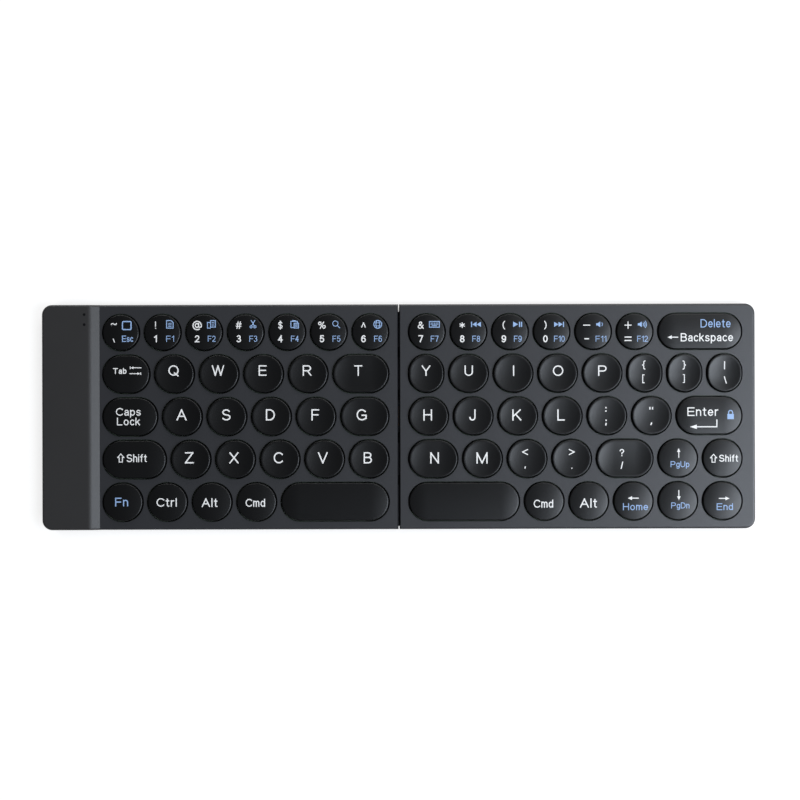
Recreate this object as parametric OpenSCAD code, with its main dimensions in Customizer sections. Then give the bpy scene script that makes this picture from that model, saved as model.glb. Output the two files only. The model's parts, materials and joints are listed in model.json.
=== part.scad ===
// Folding keyboard: two equal halves that close face to face on a concealed hinge with two pivot lines.
// X runs along the open keyboard, Y towards its back edge and Z up. The feet stand on z = 0, and the
// slot between the halves is centred on x = 0. A half is drawn on the +X side, where u is the distance
// from the slot, and the left half is its mirror image with a raised battery bay at its outer end.

/* [Overall] */
// Length of the keyboard lying open
open_length = 285; // [270:1:320]
// Depth from front edge to back edge
depth = 90; // [84:0.5:110]
// Height of a half from its underside to its deck
case_height = 5.8; // [5.4:0.1:8]
// Plan radius of the outer corners
corner_radius = 4; // [3:0.5:8]
// Rounding of the upper outer edges
edge_radius = 0.9; // [0.4:0.1:1.1]
// Rounding of the lower outer edges
base_radius = 0.7; // [0.3:0.1:0.9]
// Slot between the halves when they lie open
centre_gap = 0.4; // [0.2:0.1:0.8]

/* [Shells] */
// Side walls of both cases
wall = 1.2; // [1:0.1:2]
// Deck that the keys come up through
deck_thickness = 1.2; // [0.9:0.1:1.6]
// Floor of the lower cases
floor_thickness = 1; // [0.8:0.1:1.4]
// Height of the parting line above the underside
seam_height = 2.6; // [2.4:0.1:3]
// Width of the ribs on the floor
rib_width = 0.8; // [0.6:0.1:1.6]
// Height of the ribs that carry the support plate
rib_height = 1; // [0.8:0.1:1.2]
// Rib and wall left beside the slot of the hinge, under the deck
nose_wall = 1.3; // [1:0.1:1.6]
// Room between inner pieces and the shells
inner_clearance = 0.4; // [0.2:0.1:0.8]

/* [Battery bay] */
// Flat top of the raised bay, along X
bay_length = 18.2; // [16:0.1:24]
// Slope from the bay down to the deck, along X
slope_length = 4.7; // [3.5:0.1:8]
// Length of the round at the top of the slope, up to the corner that it takes off
slope_blend = 0.9; // [0.2:0.1:1.2]
// Height of the bay above the deck
bay_rise = 1.3; // [0.8:0.1:1.4]
// Roof of the bay
bay_roof = 1; // [0.8:0.1:1.3]

/* [Key layout] */
// Margin behind the number row
back_margin = 3.5; // [3:0.1:6]
// Margin in front of the space bars
front_margin = 3.1; // [2.8:0.1:6]
// Margin between the middle of the slot and the keys
hinge_margin = 3.6; // [3.5:0.1:6]
// Margin between the slope and the keys
bay_margin = 1; // [0.8:0.1:3]
// Margin at the right end
end_margin = 5; // [4.5:0.1:9]
// Well of the number row, front to back
number_row_height = 15.2; // [14:0.1:17]
// Land between two rows of wells
row_gap = 1; // [0.8:0.1:2]
// Land between two wells of a row
key_gap = 1.2; // [0.8:0.1:2]
// Well of a letter key, along X
key_width = 16.6; // [15.5:0.1:17.6]
// Well of the tab key, along X
tab_width = 19.5; // [17:0.1:22]
// Well of the caps lock key, along X
caps_lock_width = 22.6; // [19:0.1:24]
// Well of the N key, along X
letter_n_width = 20.3; // [17:0.1:24]

/* [Key caps] */
// Height of the key caps above the deck
key_rise = 1.4; // [1:0.1:2.2]
// Travel of a key
key_travel = 1.3; // [0.8:0.1:1.4]
// Gap between a cap and its well
cap_clearance = 0.35; // [0.25:0.05:0.5]
// Skirt of a cap
cap_wall = 0.8; // [0.6:0.05:1]
// Thinnest part of a cap's roof
cap_roof = 0.9; // [0.7:0.1:1.2]
// Draft of the skirt, from its foot to its rim
cap_draft = 0.2; // [0:0.05:0.3]
// Rounding of a cap's rim
rim_radius = 0.4; // [0.2:0.05:0.6]
// Depth of the hollow in the letter caps
dish_depth = 0.45; // [0.1:0.05:0.7]
// Height of the crown on the other caps
crown_height = 0.35; // [0.1:0.05:0.6]
// Room left under a cap that is pressed home
press_clearance = 0.4; // [0.2:0.1:0.6]
// Plunger under a cap that presses the dome
plunger_diameter = 2.6; // [2:0.1:3.2]

/* [Key switches] */
// Steel plate under the membrane
plate_thickness = 0.4; // [0.3:0.05:0.6]
// Membrane circuit
membrane_thickness = 0.3; // [0.2:0.05:0.5]
// Height of a rubber dome
dome_height = 1.9; // [1.7:0.1:2.2]
// Wall of a rubber dome
dome_wall = 0.35; // [0.25:0.05:0.5]
// Width of the bars of a scissor frame
scissor_bar = 0.7; // [0.5:0.05:0.8]
// Thickness of a scissor frame
scissor_thickness = 0.6; // [0.4:0.05:0.7]
// Rise of a scissor frame from one end to the other
scissor_rise = 1.7; // [1.3:0.1:1.8]
// Running gap between the parts of a switch
switch_clearance = 0.1; // [0.05:0.05:0.15]
// Ribs under a cap that guide its scissor frames
clip_wall = 0.4; // [0.3:0.05:0.5]
// Length of those ribs
clip_length = 2; // [1.5:0.1:3]
// Wire of the stabilisers under the wide keys
wire_diameter = 0.8; // [0.6:0.1:1]
// Wells at least this wide get a stabiliser
wide_key = 25; // [24:0.5:26]

/* [Hinge] */
// Half the gap between facing caps when folded
fold_clearance = 0.1; // [0.05:0.05:0.4]
// Deck left over the knuckles
hinge_skin = 0.6; // [0.5:0.05:0.8]
// Radius of the knuckles
knuckle_radius = 0.85; // [0.8:0.05:1]
// Diameter of the hinge pins
pin_diameter = 0.9; // [0.8:0.05:1]
// Radial running fit of the pins in the cases
pin_fit = 0.05; // [0.02:0.01:0.08]
// Gap round the arms of the spine
hinge_clearance = 0.1; // [0.05:0.05:0.2]
// Length of a knuckle along the pin
knuckle_length = 4; // [3:0.5:5]
// Length of a lug along the pin
lug_length = 1.4; // [1:0.1:1.8]
// Reach of an arm outside its pin
arm_reach = 0.5; // [0.3:0.1:0.6]
// Reach of a lug outside its pin
lug_reach = 1.1; // [0.9:0.1:1.4]
// Thickness of the spine plate
spine_thickness = 0.8; // [0.6:0.05:0.9]
// Gap between the spine plate and the edges that turn above it
nose_clearance = 0.35; // [0.25:0.05:0.5]
// Distance of the spine from the back edge
spine_back_inset = 2.8; // [1:0.1:6]
// Distance of the spine from the front edge
spine_front_inset = 1; // [0.6:0.1:6]
// Ribbon that crosses the hinge, along Y
ribbon_width = 8; // [5:0.5:9]
// Thickness of the ribbon
ribbon_thickness = 0.12; // [0.08:0.02:0.2]

/* [Electronics] */
// Main board along X
board_length = 16.2; // [15:0.1:17]
// Main board along Y
board_width = 31.5; // [28:0.5:33]
// Thickness of the main board
board_thickness = 0.8; // [0.6:0.1:1]
// Battery along X
battery_length = 14.4; // [12:0.1:15]
// Battery along Y
battery_width = 48; // [40:1:50]
// Thickness of the battery
battery_thickness = 3; // [2:0.1:3.1]
// Width of the charging port's shell
port_width = 8.9; // [8.6:0.1:9]
// Height of the charging port's shell
port_height = 3.2; // [3:0.1:3.2]
// Depth of the charging port's shell
port_depth = 6.5; // [6:0.1:7.5]
// Wall of that shell
port_wall = 0.3; // [0.2:0.05:0.4]
// Distance of the charging port from the back edge
port_inset = 11; // [10:0.5:13]
// Diameter of the status lights
light_diameter = 1; // [0.8:0.1:1.4]
// Distance between the two status lights
light_pitch = 4; // [3:0.1:5]
// Distance of the first status light from the back edge
light_inset = 3.9; // [3:0.1:6]
// Distance of the status lights from the slope
light_margin = 0.7; // [0.6:0.1:2]
// Width of the membrane's tails
tail_width = 9; // [6:0.5:10]
// Distance of the tail from the front end of the board
tail_inset = 5; // [4.5:0.1:8]
// Length of the connector that holds the tail
connector_length = 3; // [2.5:0.1:4]
// Distance of that connector from the inner edge of the board
connector_inset = 4; // [3:0.1:6]
// Height of that connector over the board
connector_height = 1.1; // [0.8:0.1:1.5]
// Side of the square controller
chip_size = 6; // [4:0.5:7]
// Height of the controller over the board
chip_height = 0.9; // [0.6:0.1:1.2]
// Length of the sensor that finds the keyboard closed
sensor_length = 3.2; // [2:0.1:4]
// Width of that sensor
sensor_width = 1.5; // [1:0.1:2]
// Height of that sensor over the board
sensor_height = 0.7; // [0.5:0.1:1]
// Length of the light-emitting diodes
led_length = 1.6; // [1:0.1:2]
// Width of the light-emitting diodes
led_width = 0.8; // [0.6:0.1:1]
// Height of the light-emitting diodes over the board
led_height = 0.6; // [0.4:0.1:0.8]
// Distance between parts on the board
part_gap = 2.5; // [2:0.1:4]
// Diameter of the posts under the board
post_diameter = 2.4; // [2:0.1:3]
// Distance of the posts from the board's edges
post_inset = 2; // [1.5:0.1:3]
// Length of the battery's plug
plug_length = 4; // [3:0.1:5]
// Width of the battery's plug
plug_width = 2.5; // [2:0.1:3]
// Height of the battery's plug over the board
plug_height = 1.3; // [1:0.1:1.6]
// Diameter of the battery's leads
lead_diameter = 0.7; // [0.5:0.05:0.9]
// Distance between the two leads
lead_pitch = 2; // [1.2:0.1:2.4]

/* [Feet and fasteners] */
// Height of the feet below the underside
foot_height = 0.6; // [0.4:0.1:1]
// Recess that a foot is glued into
foot_recess = 0.3; // [0.2:0.05:0.4]
// Foot along X
foot_length = 16; // [10:0.5:20]
// Foot along Y
foot_width = 5; // [4:0.5:6]
// Distance of the feet from the front and back edges
foot_side_inset = 8; // [7:0.5:14]
// Distance of the outer feet from the end
foot_end_inset = 7; // [6.5:0.5:14]
// Distance of the inner feet from the hinge
foot_hinge_inset = 4; // [3.5:0.5:14]
// Thread of the case screws
screw_diameter = 1.4; // [1.2:0.1:1.6]
// Length of the case screws under their head
screw_length = 3; // [2.6:0.1:3]
// Head of the case screws
head_diameter = 2.4; // [2.2:0.1:2.6]
// Height of that head
head_height = 0.7; // [0.5:0.1:0.8]
// Screw boss under the deck
boss_diameter = 3.2; // [3:0.1:3.4]
// Floor that a screw's head clamps
seat_thickness = 0.8; // [0.6:0.1:1]
// Diameter of the closing magnets
magnet_diameter = 3; // [2.5:0.1:3.2]
// Thickness of the closing magnets
magnet_thickness = 1.7; // [1.2:0.1:1.7]
// Wall of the cups that hold the magnets
magnet_cup = 0.5; // [0.4:0.1:0.6]

/* [Hidden] */
$fn = 48;
LEFT = -1;
RIGHT = 1;
DISHED = 1;
CROWNED = 0;
ROWS = 5;
margin = 1;               // how far a cutting shape runs past what it cuts
half_length = open_length / 2;
half_depth = depth / 2;

// Heights above the surface that the feet stand on
z_base = foot_height;
z_floor = z_base + floor_thickness;
z_seam = z_base + seam_height;
z_plate = z_floor + rib_height;
z_membrane = z_plate + plate_thickness;
z_switch = z_membrane + membrane_thickness;
z_deck = z_base + case_height;
z_under_deck = z_deck - deck_thickness;
z_bay = z_deck + bay_rise;
z_key = z_deck + key_rise;
z_cap_foot = z_switch + key_travel + press_clearance;
z_cap_roof = z_key - dish_depth - cap_roof;
z_dome = z_switch + dome_height;

// Hinge: the halves fold flat, with their decks just far enough apart for the key caps
pin_depth = hinge_skin + hinge_clearance + knuckle_radius;
pin_u = pin_depth + key_rise + fold_clearance;
z_pin = z_deck - pin_depth;
nose_radius = pin_u - centre_gap / 2;
z_spine = z_pin - nose_radius - nose_clearance;
spine_half_width = pin_u + arm_reach;
hinge_wall_u = spine_half_width + 2 * hinge_clearance;
pocket_u = pin_u + knuckle_radius + hinge_clearance;
pocket_length = knuckle_length + 2 * hinge_clearance;
lug_span = pocket_length + 2 * lug_length;

// Where a half's deck and keys end
slope_u = half_length - bay_length;
bay_u = slope_u - slope_length;
slope_angle = atan(bay_rise / (slope_length - slope_blend));
slope_radius = slope_blend / tan(slope_angle / 2);

// Side view of the slope from the bay to the deck: a round and a straight run
SLOPE = concat(
    [for (share = [0:0.25:1]) let (t = share * slope_angle)
        [slope_u, z_bay] - slope_radius * [sin(t), 1 - cos(t)]],
    [[bay_u, z_deck]]
);

// Length of the key fields of both halves
left_field = bay_u - bay_margin - hinge_margin;
right_field = half_length - end_margin - hinge_margin;
sheet_u = hinge_wall_u + rib_width + inner_clearance / 2;
sheet_half_depth = half_depth - wall - inner_clearance;

// Wells of each row from left to right, where 0 takes an equal share of what the others leave
row_height = (depth - back_margin - front_margin - number_row_height - (ROWS - 1) * row_gap) / (ROWS - 1);
number_width = (left_field - 6 * key_gap) / 7;
function times(count, value) = [for (i = [1:count]) value];
ROW_WELLS_LEFT = [
    times(7, 0),
    concat([tab_width], times(4, key_width), [0]),
    concat([caps_lock_width], times(4, key_width), [0]),
    concat([0], times(5, key_width)),
    concat(times(4, key_width), [0]),
];
ROW_WELLS_RIGHT = [
    concat(times(6, number_width), [0]),
    concat([0], times(4, key_width), times(3, 0)),
    concat(times(6, key_width), [0]),
    concat([letter_n_width], times(3, key_width), [0], times(2, key_width)),
    concat([0], times(5, key_width)),
];
function sum(list, end) = end <= 0 ? 0 : list[end - 1] + sum(list, end - 1);
function shares(list) = len([for (w = list) if (w == 0) w]);
function filled(list, field) =
    let (share = (field - sum(list, len(list)) - (len(list) - 1) * key_gap) / max(1, shares(list)))
    [for (w = list) w == 0 ? share : w];
function row_wells(side, row) =
    side == LEFT ? filled(ROW_WELLS_LEFT[row], left_field) : filled(ROW_WELLS_RIGHT[row], right_field);
function row_start(side) = side == LEFT ? -hinge_margin - left_field : hinge_margin;
function row_depth(row) = row == 0 ? number_row_height : row_height;
function row_y(row) = row == 0
    ? half_depth - back_margin - number_row_height / 2
    : half_depth - back_margin - number_row_height - row * row_gap - (row - 0.5) * row_height;
function row_boundary(row) = row_y(row) - row_depth(row) / 2 - row_gap / 2;

// One key as [x, y, width, height] of its well
function key_at(side, row, i) =
    let (wells = row_wells(side, row))
    [row_start(side) + sum(wells, i) + i * key_gap + wells[i] / 2, row_y(row), wells[i], row_depth(row)];
function half_keys(side) =
    [for (row = [0:ROWS - 1]) for (i = [0:len(row_wells(side, row)) - 1]) key_at(side, row, i)];
function after_key(side, row, i) =
    let (key = key_at(side, row, i))
    side * (key[0] + (key[2] + key_gap) / 2);

// Key nodes as [name, side, row, first key, last key, form of the top]
KEY_NODES = [
    ["escape_key", LEFT, 0, 0, 0, CROWNED],
    ["keys_1_to_3", LEFT, 0, 1, 3, CROWNED],
    ["keys_4_to_6", LEFT, 0, 4, 6, CROWNED],
    ["tab_key", LEFT, 1, 0, 0, CROWNED],
    ["keys_q_to_t", LEFT, 1, 1, 5, DISHED],
    ["caps_lock_key", LEFT, 2, 0, 0, CROWNED],
    ["keys_a_to_g", LEFT, 2, 1, 5, DISHED],
    ["left_shift_key", LEFT, 3, 0, 0, CROWNED],
    ["keys_z_to_b", LEFT, 3, 1, 5, DISHED],
    ["function_key", LEFT, 4, 0, 0, CROWNED],
    ["control_key", LEFT, 4, 1, 1, CROWNED],
    ["left_alt_key", LEFT, 4, 2, 2, CROWNED],
    ["left_command_key", LEFT, 4, 3, 3, CROWNED],
    ["left_space_key", LEFT, 4, 4, 4, CROWNED],
    ["keys_7_to_9", RIGHT, 0, 0, 2, CROWNED],
    ["keys_0_to_equals", RIGHT, 0, 3, 5, CROWNED],
    ["backspace_key", RIGHT, 0, 6, 6, CROWNED],
    ["keys_y_to_p", RIGHT, 1, 0, 4, DISHED],
    ["bracket_keys", RIGHT, 1, 5, 7, DISHED],
    ["keys_h_to_l", RIGHT, 2, 0, 3, DISHED],
    ["semicolon_and_quote_keys", RIGHT, 2, 4, 5, DISHED],
    ["enter_key", RIGHT, 2, 6, 6, CROWNED],
    ["keys_n_and_m", RIGHT, 3, 0, 1, DISHED],
    ["comma_to_slash_keys", RIGHT, 3, 2, 4, DISHED],
    ["up_arrow_key", RIGHT, 3, 5, 5, CROWNED],
    ["right_shift_key", RIGHT, 3, 6, 6, CROWNED],
    ["right_space_key", RIGHT, 4, 0, 0, CROWNED],
    ["right_command_key", RIGHT, 4, 1, 1, CROWNED],
    ["right_alt_key", RIGHT, 4, 2, 2, CROWNED],
    ["left_arrow_key", RIGHT, 4, 3, 3, CROWNED],
    ["down_arrow_key", RIGHT, 4, 4, 4, CROWNED],
    ["right_arrow_key", RIGHT, 4, 5, 5, CROWNED],
];
CASE_NODES = [
    "left_upper_case", "left_end_cover", "left_lower_case", "left_support_plate", "left_membrane",
    "left_rubber_domes", "left_scissor_frames", "left_stabilisers", "main_board", "battery",
    "charging_port", "status_lights", "left_magnets", "left_feet", "left_screws",
    "hinge_spine", "hinge_pins", "hinge_ribbon",
    "right_upper_case", "right_lower_case", "right_support_plate", "right_membrane",
    "right_rubber_domes", "right_scissor_frames", "right_stabilisers", "right_magnets",
    "right_feet", "right_screws",
];

// Screws as [u, y]: behind and in front of the keys, beside the hinge, and at the outer end
edge_screw_y = half_depth - wall - boss_diameter / 2 - inner_clearance / 2;
hinge_screw_u = pin_u + lug_reach + boss_diameter / 2 + 2 * inner_clearance;
bay_screw_u = bay_u + boss_diameter / 2 + inner_clearance;
HINGE_SCREWS = [for (row = [0, 3]) [hinge_screw_u, row_boundary(row)]];
BAY_SCREWS = [for (end = [-1, 1]) [bay_screw_u, end * edge_screw_y]];
DECK_SCREWS_LEFT = concat(
    [for (i = [0, 3, 5]) [after_key(LEFT, 0, i), edge_screw_y]],
    [for (i = [0, 3]) [after_key(LEFT, 4, i), -edge_screw_y]],
    HINGE_SCREWS
);
DECK_SCREWS_RIGHT = concat(
    [for (i = [2, 5]) [after_key(RIGHT, 0, i), edge_screw_y]],
    [for (i = [0, 2, 4]) [after_key(RIGHT, 4, i), -edge_screw_y]],
    [for (end = [-1, 1]) [half_length - corner_radius, end * (half_depth - corner_radius)]],
    HINGE_SCREWS
);

// Outline of the membrane and its plate
end_wall = bay_margin - inner_clearance / 4;
function sheet_end(side) =
    side == LEFT ? bay_u - end_wall - inner_clearance : half_length - corner_radius - wall;
boss_hole = boss_diameter + 2 * inner_clearance;
function deck_screws(side) = side == LEFT ? DECK_SCREWS_LEFT : DECK_SCREWS_RIGHT;
function case_screws(side) = side == LEFT ? concat(DECK_SCREWS_LEFT, BAY_SCREWS) : DECK_SCREWS_RIGHT;
head_recess = head_height + inner_clearance / 4;
z_head = z_base + head_recess;
z_boss = z_head + seat_thickness;
seat_diameter = head_diameter + 2 * seat_thickness;

// Board, battery and port in the bay, as u and y of their outer corner
bay_clearance = 2 * inner_clearance;
board_u = half_length - wall - bay_clearance - board_length;
board_y = half_depth - wall - inner_clearance - inner_clearance - board_width;
z_board = z_membrane;
port_y = half_depth - port_inset;
port_u = half_length - inner_clearance - port_depth;
light_u = slope_u + light_margin + light_diameter / 2;
LIGHTS = [for (i = [0, 1]) [light_u, half_depth - light_inset - i * light_pitch]];
connector_u = board_u + connector_inset;
tail_y = board_y + tail_inset + tail_width / 2;
battery_u = half_length - wall - bay_clearance - battery_length;
battery_y = wall + bay_clearance - half_depth;
plug_u = battery_u + part_gap;
plug_y = board_y + inner_clearance;
chip_u = board_u + board_length - post_inset - chip_size;
chip_y = plug_y + plug_width + bay_clearance;

// Magnets that hold the folded halves, facing each other across the hinge
magnet_u = half_length - wall - inner_clearance - magnet_diameter / 2;
MAGNETS = [for (row = [0, 3]) [magnet_u, row_boundary(row)]];
function magnet_seat(side) = side == LEFT ? z_bay - bay_roof : z_under_deck;

// Feet as [u, y]
foot_y = half_depth - foot_side_inset - foot_width / 2;
inner_foot_u = hinge_wall_u + foot_hinge_inset + foot_length / 2;
outer_foot_u = half_length - foot_end_inset - foot_length / 2;
FEET = [for (u = [inner_foot_u, outer_foot_u]) for (end = [-1, 1]) [u, end * foot_y]];

// Scissor frames: two crossing rings that fit inside the smallest cap
smallest_well = min([for (k = concat(half_keys(LEFT), half_keys(RIGHT))) min(k[2], k[3])]);
scissor_size = (smallest_well - 2 * (cap_clearance + cap_draft + cap_wall + switch_clearance)) / sqrt(2);
inner_ring = scissor_size - 2 * (scissor_bar + switch_clearance);
scissor_tilt = asin(scissor_rise / (scissor_size - scissor_bar));
bar_centre = (scissor_size - scissor_bar) / 2 * cos(scissor_tilt);
scissor_half_height = (scissor_size * sin(scissor_tilt) + scissor_thickness * cos(scissor_tilt)) / 2;
z_scissor = z_switch + switch_clearance + scissor_half_height;
dome_radius = inner_ring / 2 - scissor_bar - switch_clearance;
dome_top_radius = dome_radius - dome_height / 2;

// ---- Shared shapes ----

// The right half as drawn, or the left one as its mirror image
module half(side) {
    if (side == LEFT) mirror([1, 0, 0]) children();
    else children();
}

// Upright prism of a flat shape between two heights
module between(z0, z1) translate([0, 0, z0]) linear_extrude(z1 - z0) children();

// Prism along Y of a section drawn in u and z
module along_y(y0, y1) translate([0, y1, 0]) rotate([90, 0, 0]) linear_extrude(y1 - y0) children();

// Outline with two round ends
module slot_2d(w, h) {
    run = abs(w - h);
    for (end = [-1, 1]) translate(end * (w > h ? [run / 2, 0] : [0, run / 2])) circle(min(w, h) / 2);
    if (run > 0) square(w > h ? [run, h] : [w, run], center = true);
}

// Plan of a half from u0 to its outer end, drawn in by an inset, with round outer corners
module plan_2d(u0, inset) {
    r = corner_radius - inset;
    u1 = half_length - inset;
    y = half_depth - inset;
    translate([u0, -y]) square([u1 - r - u0, 2 * y]);
    translate([u0, r - y]) square([u1 - u0, 2 * (y - r)]);
    for (end = [-1, 1]) translate([u1 - r, end * (y - r)]) circle(r);
}

// What a quarter round takes off an edge that runs through the origin
module edge_2d(radius) polygon(concat(
    [[-radius, margin], [margin, margin], [margin, -radius]],
    [for (t = [0:22.5:90]) radius * [cos(t) - 1, sin(t) - 1]]
));

// Rounds the front and back edges from u0 to u1
module round_sides(u0, u1, radius) {
    for (flip = [0, 1]) mirror([0, flip, 0])
        translate([u0, half_depth, 0]) rotate([90, 0, 90]) linear_extrude(u1 - u0) edge_2d(radius);
}

// Rounds the outline from u0 round the outer end
module round_outline(u0, radius) {
    round_sides(u0, half_length - corner_radius, radius);
    for (flip = [0, 1]) mirror([0, flip, 0])
        translate([half_length - corner_radius, half_depth - corner_radius, 0])
            rotate_extrude(angle = 90) translate([corner_radius, 0]) edge_2d(radius);
    translate([half_length, 0, 0]) rotate([90, 0, 0])
        linear_extrude(2 * (half_depth - corner_radius), center = true) edge_2d(radius);
}

// Copies at each [u, y] of a list
module at(places) for (p = places) translate([p[0], p[1], 0]) children();

// ---- Cases ----

module key_wells(side) for (k = half_keys(side))
    translate([side * k[0], k[1]]) between(z_seam, z_deck + margin) slot_2d(k[2], k[3]);

// Frees the round edge beside the slot, which turns about the pin
module nose_cut() along_y(-half_depth - margin, half_depth + margin) difference() {
    translate([-margin, z_base]) square([pin_u + margin, case_height + margin]);
    translate([pin_u, z_pin]) circle(nose_radius);
}

// Lugs on both sides of each knuckle, which hold the ends of its pin
module lugs() for (row = [0:ROWS - 2]) for (y = [pocket_length / 2, -lug_span / 2])
    translate([centre_gap / 2, row_boundary(row) + y, z_pin - lug_reach]) cube([
        pin_u + lug_reach - centre_gap / 2,
        lug_length,
        z_under_deck + deck_thickness / 2 - z_pin + lug_reach
    ]);

// Room for the knuckles and arms of the spine, under the skin of the deck
module hinge_pockets() for (row = [0:ROWS - 2])
    translate([-margin, row_boundary(row) - pocket_length / 2, z_base])
        cube([pocket_u + margin, pocket_length, case_height - hinge_skin]);

// Rods on the pivot line, one for each knuckle
module on_pivot(length, radius) for (row = [0:ROWS - 2])
    translate([pin_u, row_boundary(row) + length / 2, z_pin]) rotate([90, 0, 0])
        cylinder(r = radius, h = length);

module magnet_cups(side) at(MAGNETS)
    between(magnet_seat(side) - magnet_thickness, magnet_seat(side) + bay_roof / 2)
        circle(d = magnet_diameter + 2 * magnet_cup + pin_fit);

module magnet_holes(side) at(MAGNETS)
    between(magnet_seat(side) - magnet_thickness - margin, magnet_seat(side))
        circle(d = magnet_diameter + pin_fit);

module screw_bosses(places, top) at(places) between(z_boss, top) circle(d = boss_diameter);

module pilot_holes(places) at(places)
    between(z_boss - margin, z_head + screw_length + inner_clearance)
        circle(d = screw_diameter + pin_fit);

// Hole of the charging port through both cases
module port_opening() translate([half_length - wall - margin, port_y, z_board + port_height / 2])
    rotate([90, 0, 90]) linear_extrude(wall + 2 * margin)
        slot_2d(port_width + inner_clearance, port_height + inner_clearance);

// Where the membrane's tail leaves the left key field
module tail_notch()
    translate([bay_u - end_wall - margin, tail_y - tail_width / 2 - inner_clearance, z_base])
        cube([
            end_wall + 2 * margin,
            tail_width + 2 * inner_clearance,
            z_switch + inner_clearance - z_base
        ]);

// Block of a half's deck: up to the bay on the left, up to the rounded end on the right
module deck_block(side, z0, z1, inset, u0) {
    if (side == RIGHT) between(z0, z1) plan_2d(u0, inset);
    else translate([u0, inset - half_depth, z0])
        cube([bay_u - (inset > 0 ? end_wall : 0) - u0, depth - 2 * inset, z1 - z0]);
}

module upper_case(side) color("dimgray") half(side) difference() {
    union() {
        difference() {
            deck_block(side, z_seam, z_deck, 0, centre_gap / 2);
            deck_block(side, z_seam - margin, z_under_deck, wall, centre_gap / 2 + nose_wall);
        }
        translate([centre_gap / 2, -half_depth, z_pin - nose_radius])
            cube([nose_wall, depth, z_deck - deck_thickness / 2 - z_pin + nose_radius]);
        lugs();
        screw_bosses(deck_screws(side), z_deck - deck_thickness / 2);
        if (side == RIGHT) magnet_cups(side);
    }
    nose_cut();
    hinge_pockets();
    on_pivot(lug_span, pin_diameter / 2 + pin_fit);
    key_wells(side);
    pilot_holes(deck_screws(side));
    if (side == RIGHT) magnet_holes(side);
    if (side == LEFT) tail_notch();
    translate([0, 0, z_deck]) {
        if (side == RIGHT) round_outline(-margin, edge_radius);
        else round_sides(-margin, bay_u + margin, edge_radius);
    }
}

module left_upper_case() upper_case(LEFT);
module right_upper_case() upper_case(RIGHT);

// Side view of the bay, closed below at z0, under a roof that is lowered by a drop
module bay_2d(z0, drop) {
    foot_u = bay_u - margin * sign(drop);
    polygon(concat(
        [[foot_u, z0], [half_length, z0], [half_length, z_bay - drop]],
        [for (p = SLOPE) p - [0, drop]],
        drop == 0 ? [] : [[foot_u, z_deck - drop]]
    ));
}

module left_end_cover() color("dimgray") half(LEFT) difference() {
    intersection() {
        union() {
            difference() {
                between(z_seam, z_bay) plan_2d(bay_u, 0);
                intersection() {
                    between(z_seam - margin, z_bay) plan_2d(bay_u - margin, wall);
                    along_y(-half_depth, half_depth) bay_2d(z_base, bay_roof);
                }
            }
            screw_bosses(BAY_SCREWS, z_bay);
            magnet_cups(LEFT);
        }
        along_y(-half_depth - margin, half_depth + margin) bay_2d(z_base, 0);
    }
    magnet_holes(LEFT);
    pilot_holes(BAY_SCREWS);
    port_opening();
    at(LIGHTS) between(z_seam, z_bay + margin) circle(d = light_diameter + 2 * pin_fit);
    translate([0, 0, z_bay]) round_outline(slope_u - slope_blend, edge_radius);
    translate([bay_u, 0, z_deck]) rotate([0, -slope_angle, 0])
        round_sides(0, bay_rise / sin(slope_angle), edge_radius);
}

module floor_ribs(side) {
    end = sheet_end(side);
    for (row = [0:ROWS - 1]) translate([hinge_wall_u, row_y(row) - rib_width / 2, z_base])
        cube([end - hinge_wall_u, rib_width, z_plate - z_base]);
    for (share = [0.25, 0.5, 0.75])
        translate([hinge_wall_u + (end - hinge_wall_u) * share, row_y(ROWS - 1), z_base])
            cube([rib_width, row_y(0) - row_y(ROWS - 1), z_plate - z_base]);
}

module lower_case(side) color("dimgray") half(side) difference() {
    union() {
        difference() {
            between(z_base, z_seam) plan_2d(hinge_wall_u, 0);
            between(z_floor, z_seam + margin) plan_2d(hinge_wall_u + rib_width, wall);
        }
        floor_ribs(side);
        at(case_screws(side)) between(z_base, z_boss) circle(d = seat_diameter);
        if (side == LEFT) board_posts();
    }
    at(case_screws(side)) {
        between(z_base - margin, z_head) circle(d = head_diameter + inner_clearance);
        between(z_base, z_boss + margin) circle(d = screw_diameter + inner_clearance / 2);
    }
    at(FEET) between(z_base - margin, z_base + foot_recess)
        slot_2d(foot_length + pin_fit, foot_width + pin_fit);
    translate([hinge_wall_u - margin, row_y(2) - ribbon_width / 2 - inner_clearance, z_floor])
        cube([rib_width + 2 * margin, ribbon_width + 2 * inner_clearance, z_seam - z_floor + margin]);
    if (side == LEFT) port_opening();
    translate([0, 0, z_base]) mirror([0, 0, 1]) round_outline(hinge_wall_u - margin, base_radius);
}

module left_lower_case() lower_case(LEFT);
module right_lower_case() lower_case(RIGHT);

// ---- Key caps ----

// Half section of a cap from the axis under its roof, out round its skirt and back over its top
function cap_section(r, top) =
    let (rim = r - cap_draft - rim_radius)
    let (inner = r - cap_draft - cap_wall)
    let (z_rim = z_key - (top == CROWNED ? crown_height : 0))
    let (rise = top == CROWNED ? crown_height : -dish_depth)
    concat(
        [[0, z_cap_roof], [inner, z_cap_roof], [inner, z_cap_foot], [r, z_cap_foot]],
        [for (t = [0:30:90]) [rim + rim_radius * cos(t), z_rim - rim_radius * (1 - sin(t))]],
        [for (i = [1:5]) let (p = 1 - i / 5) [rim * p, z_rim + rise * (1 - p * p)]]
    );

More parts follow.
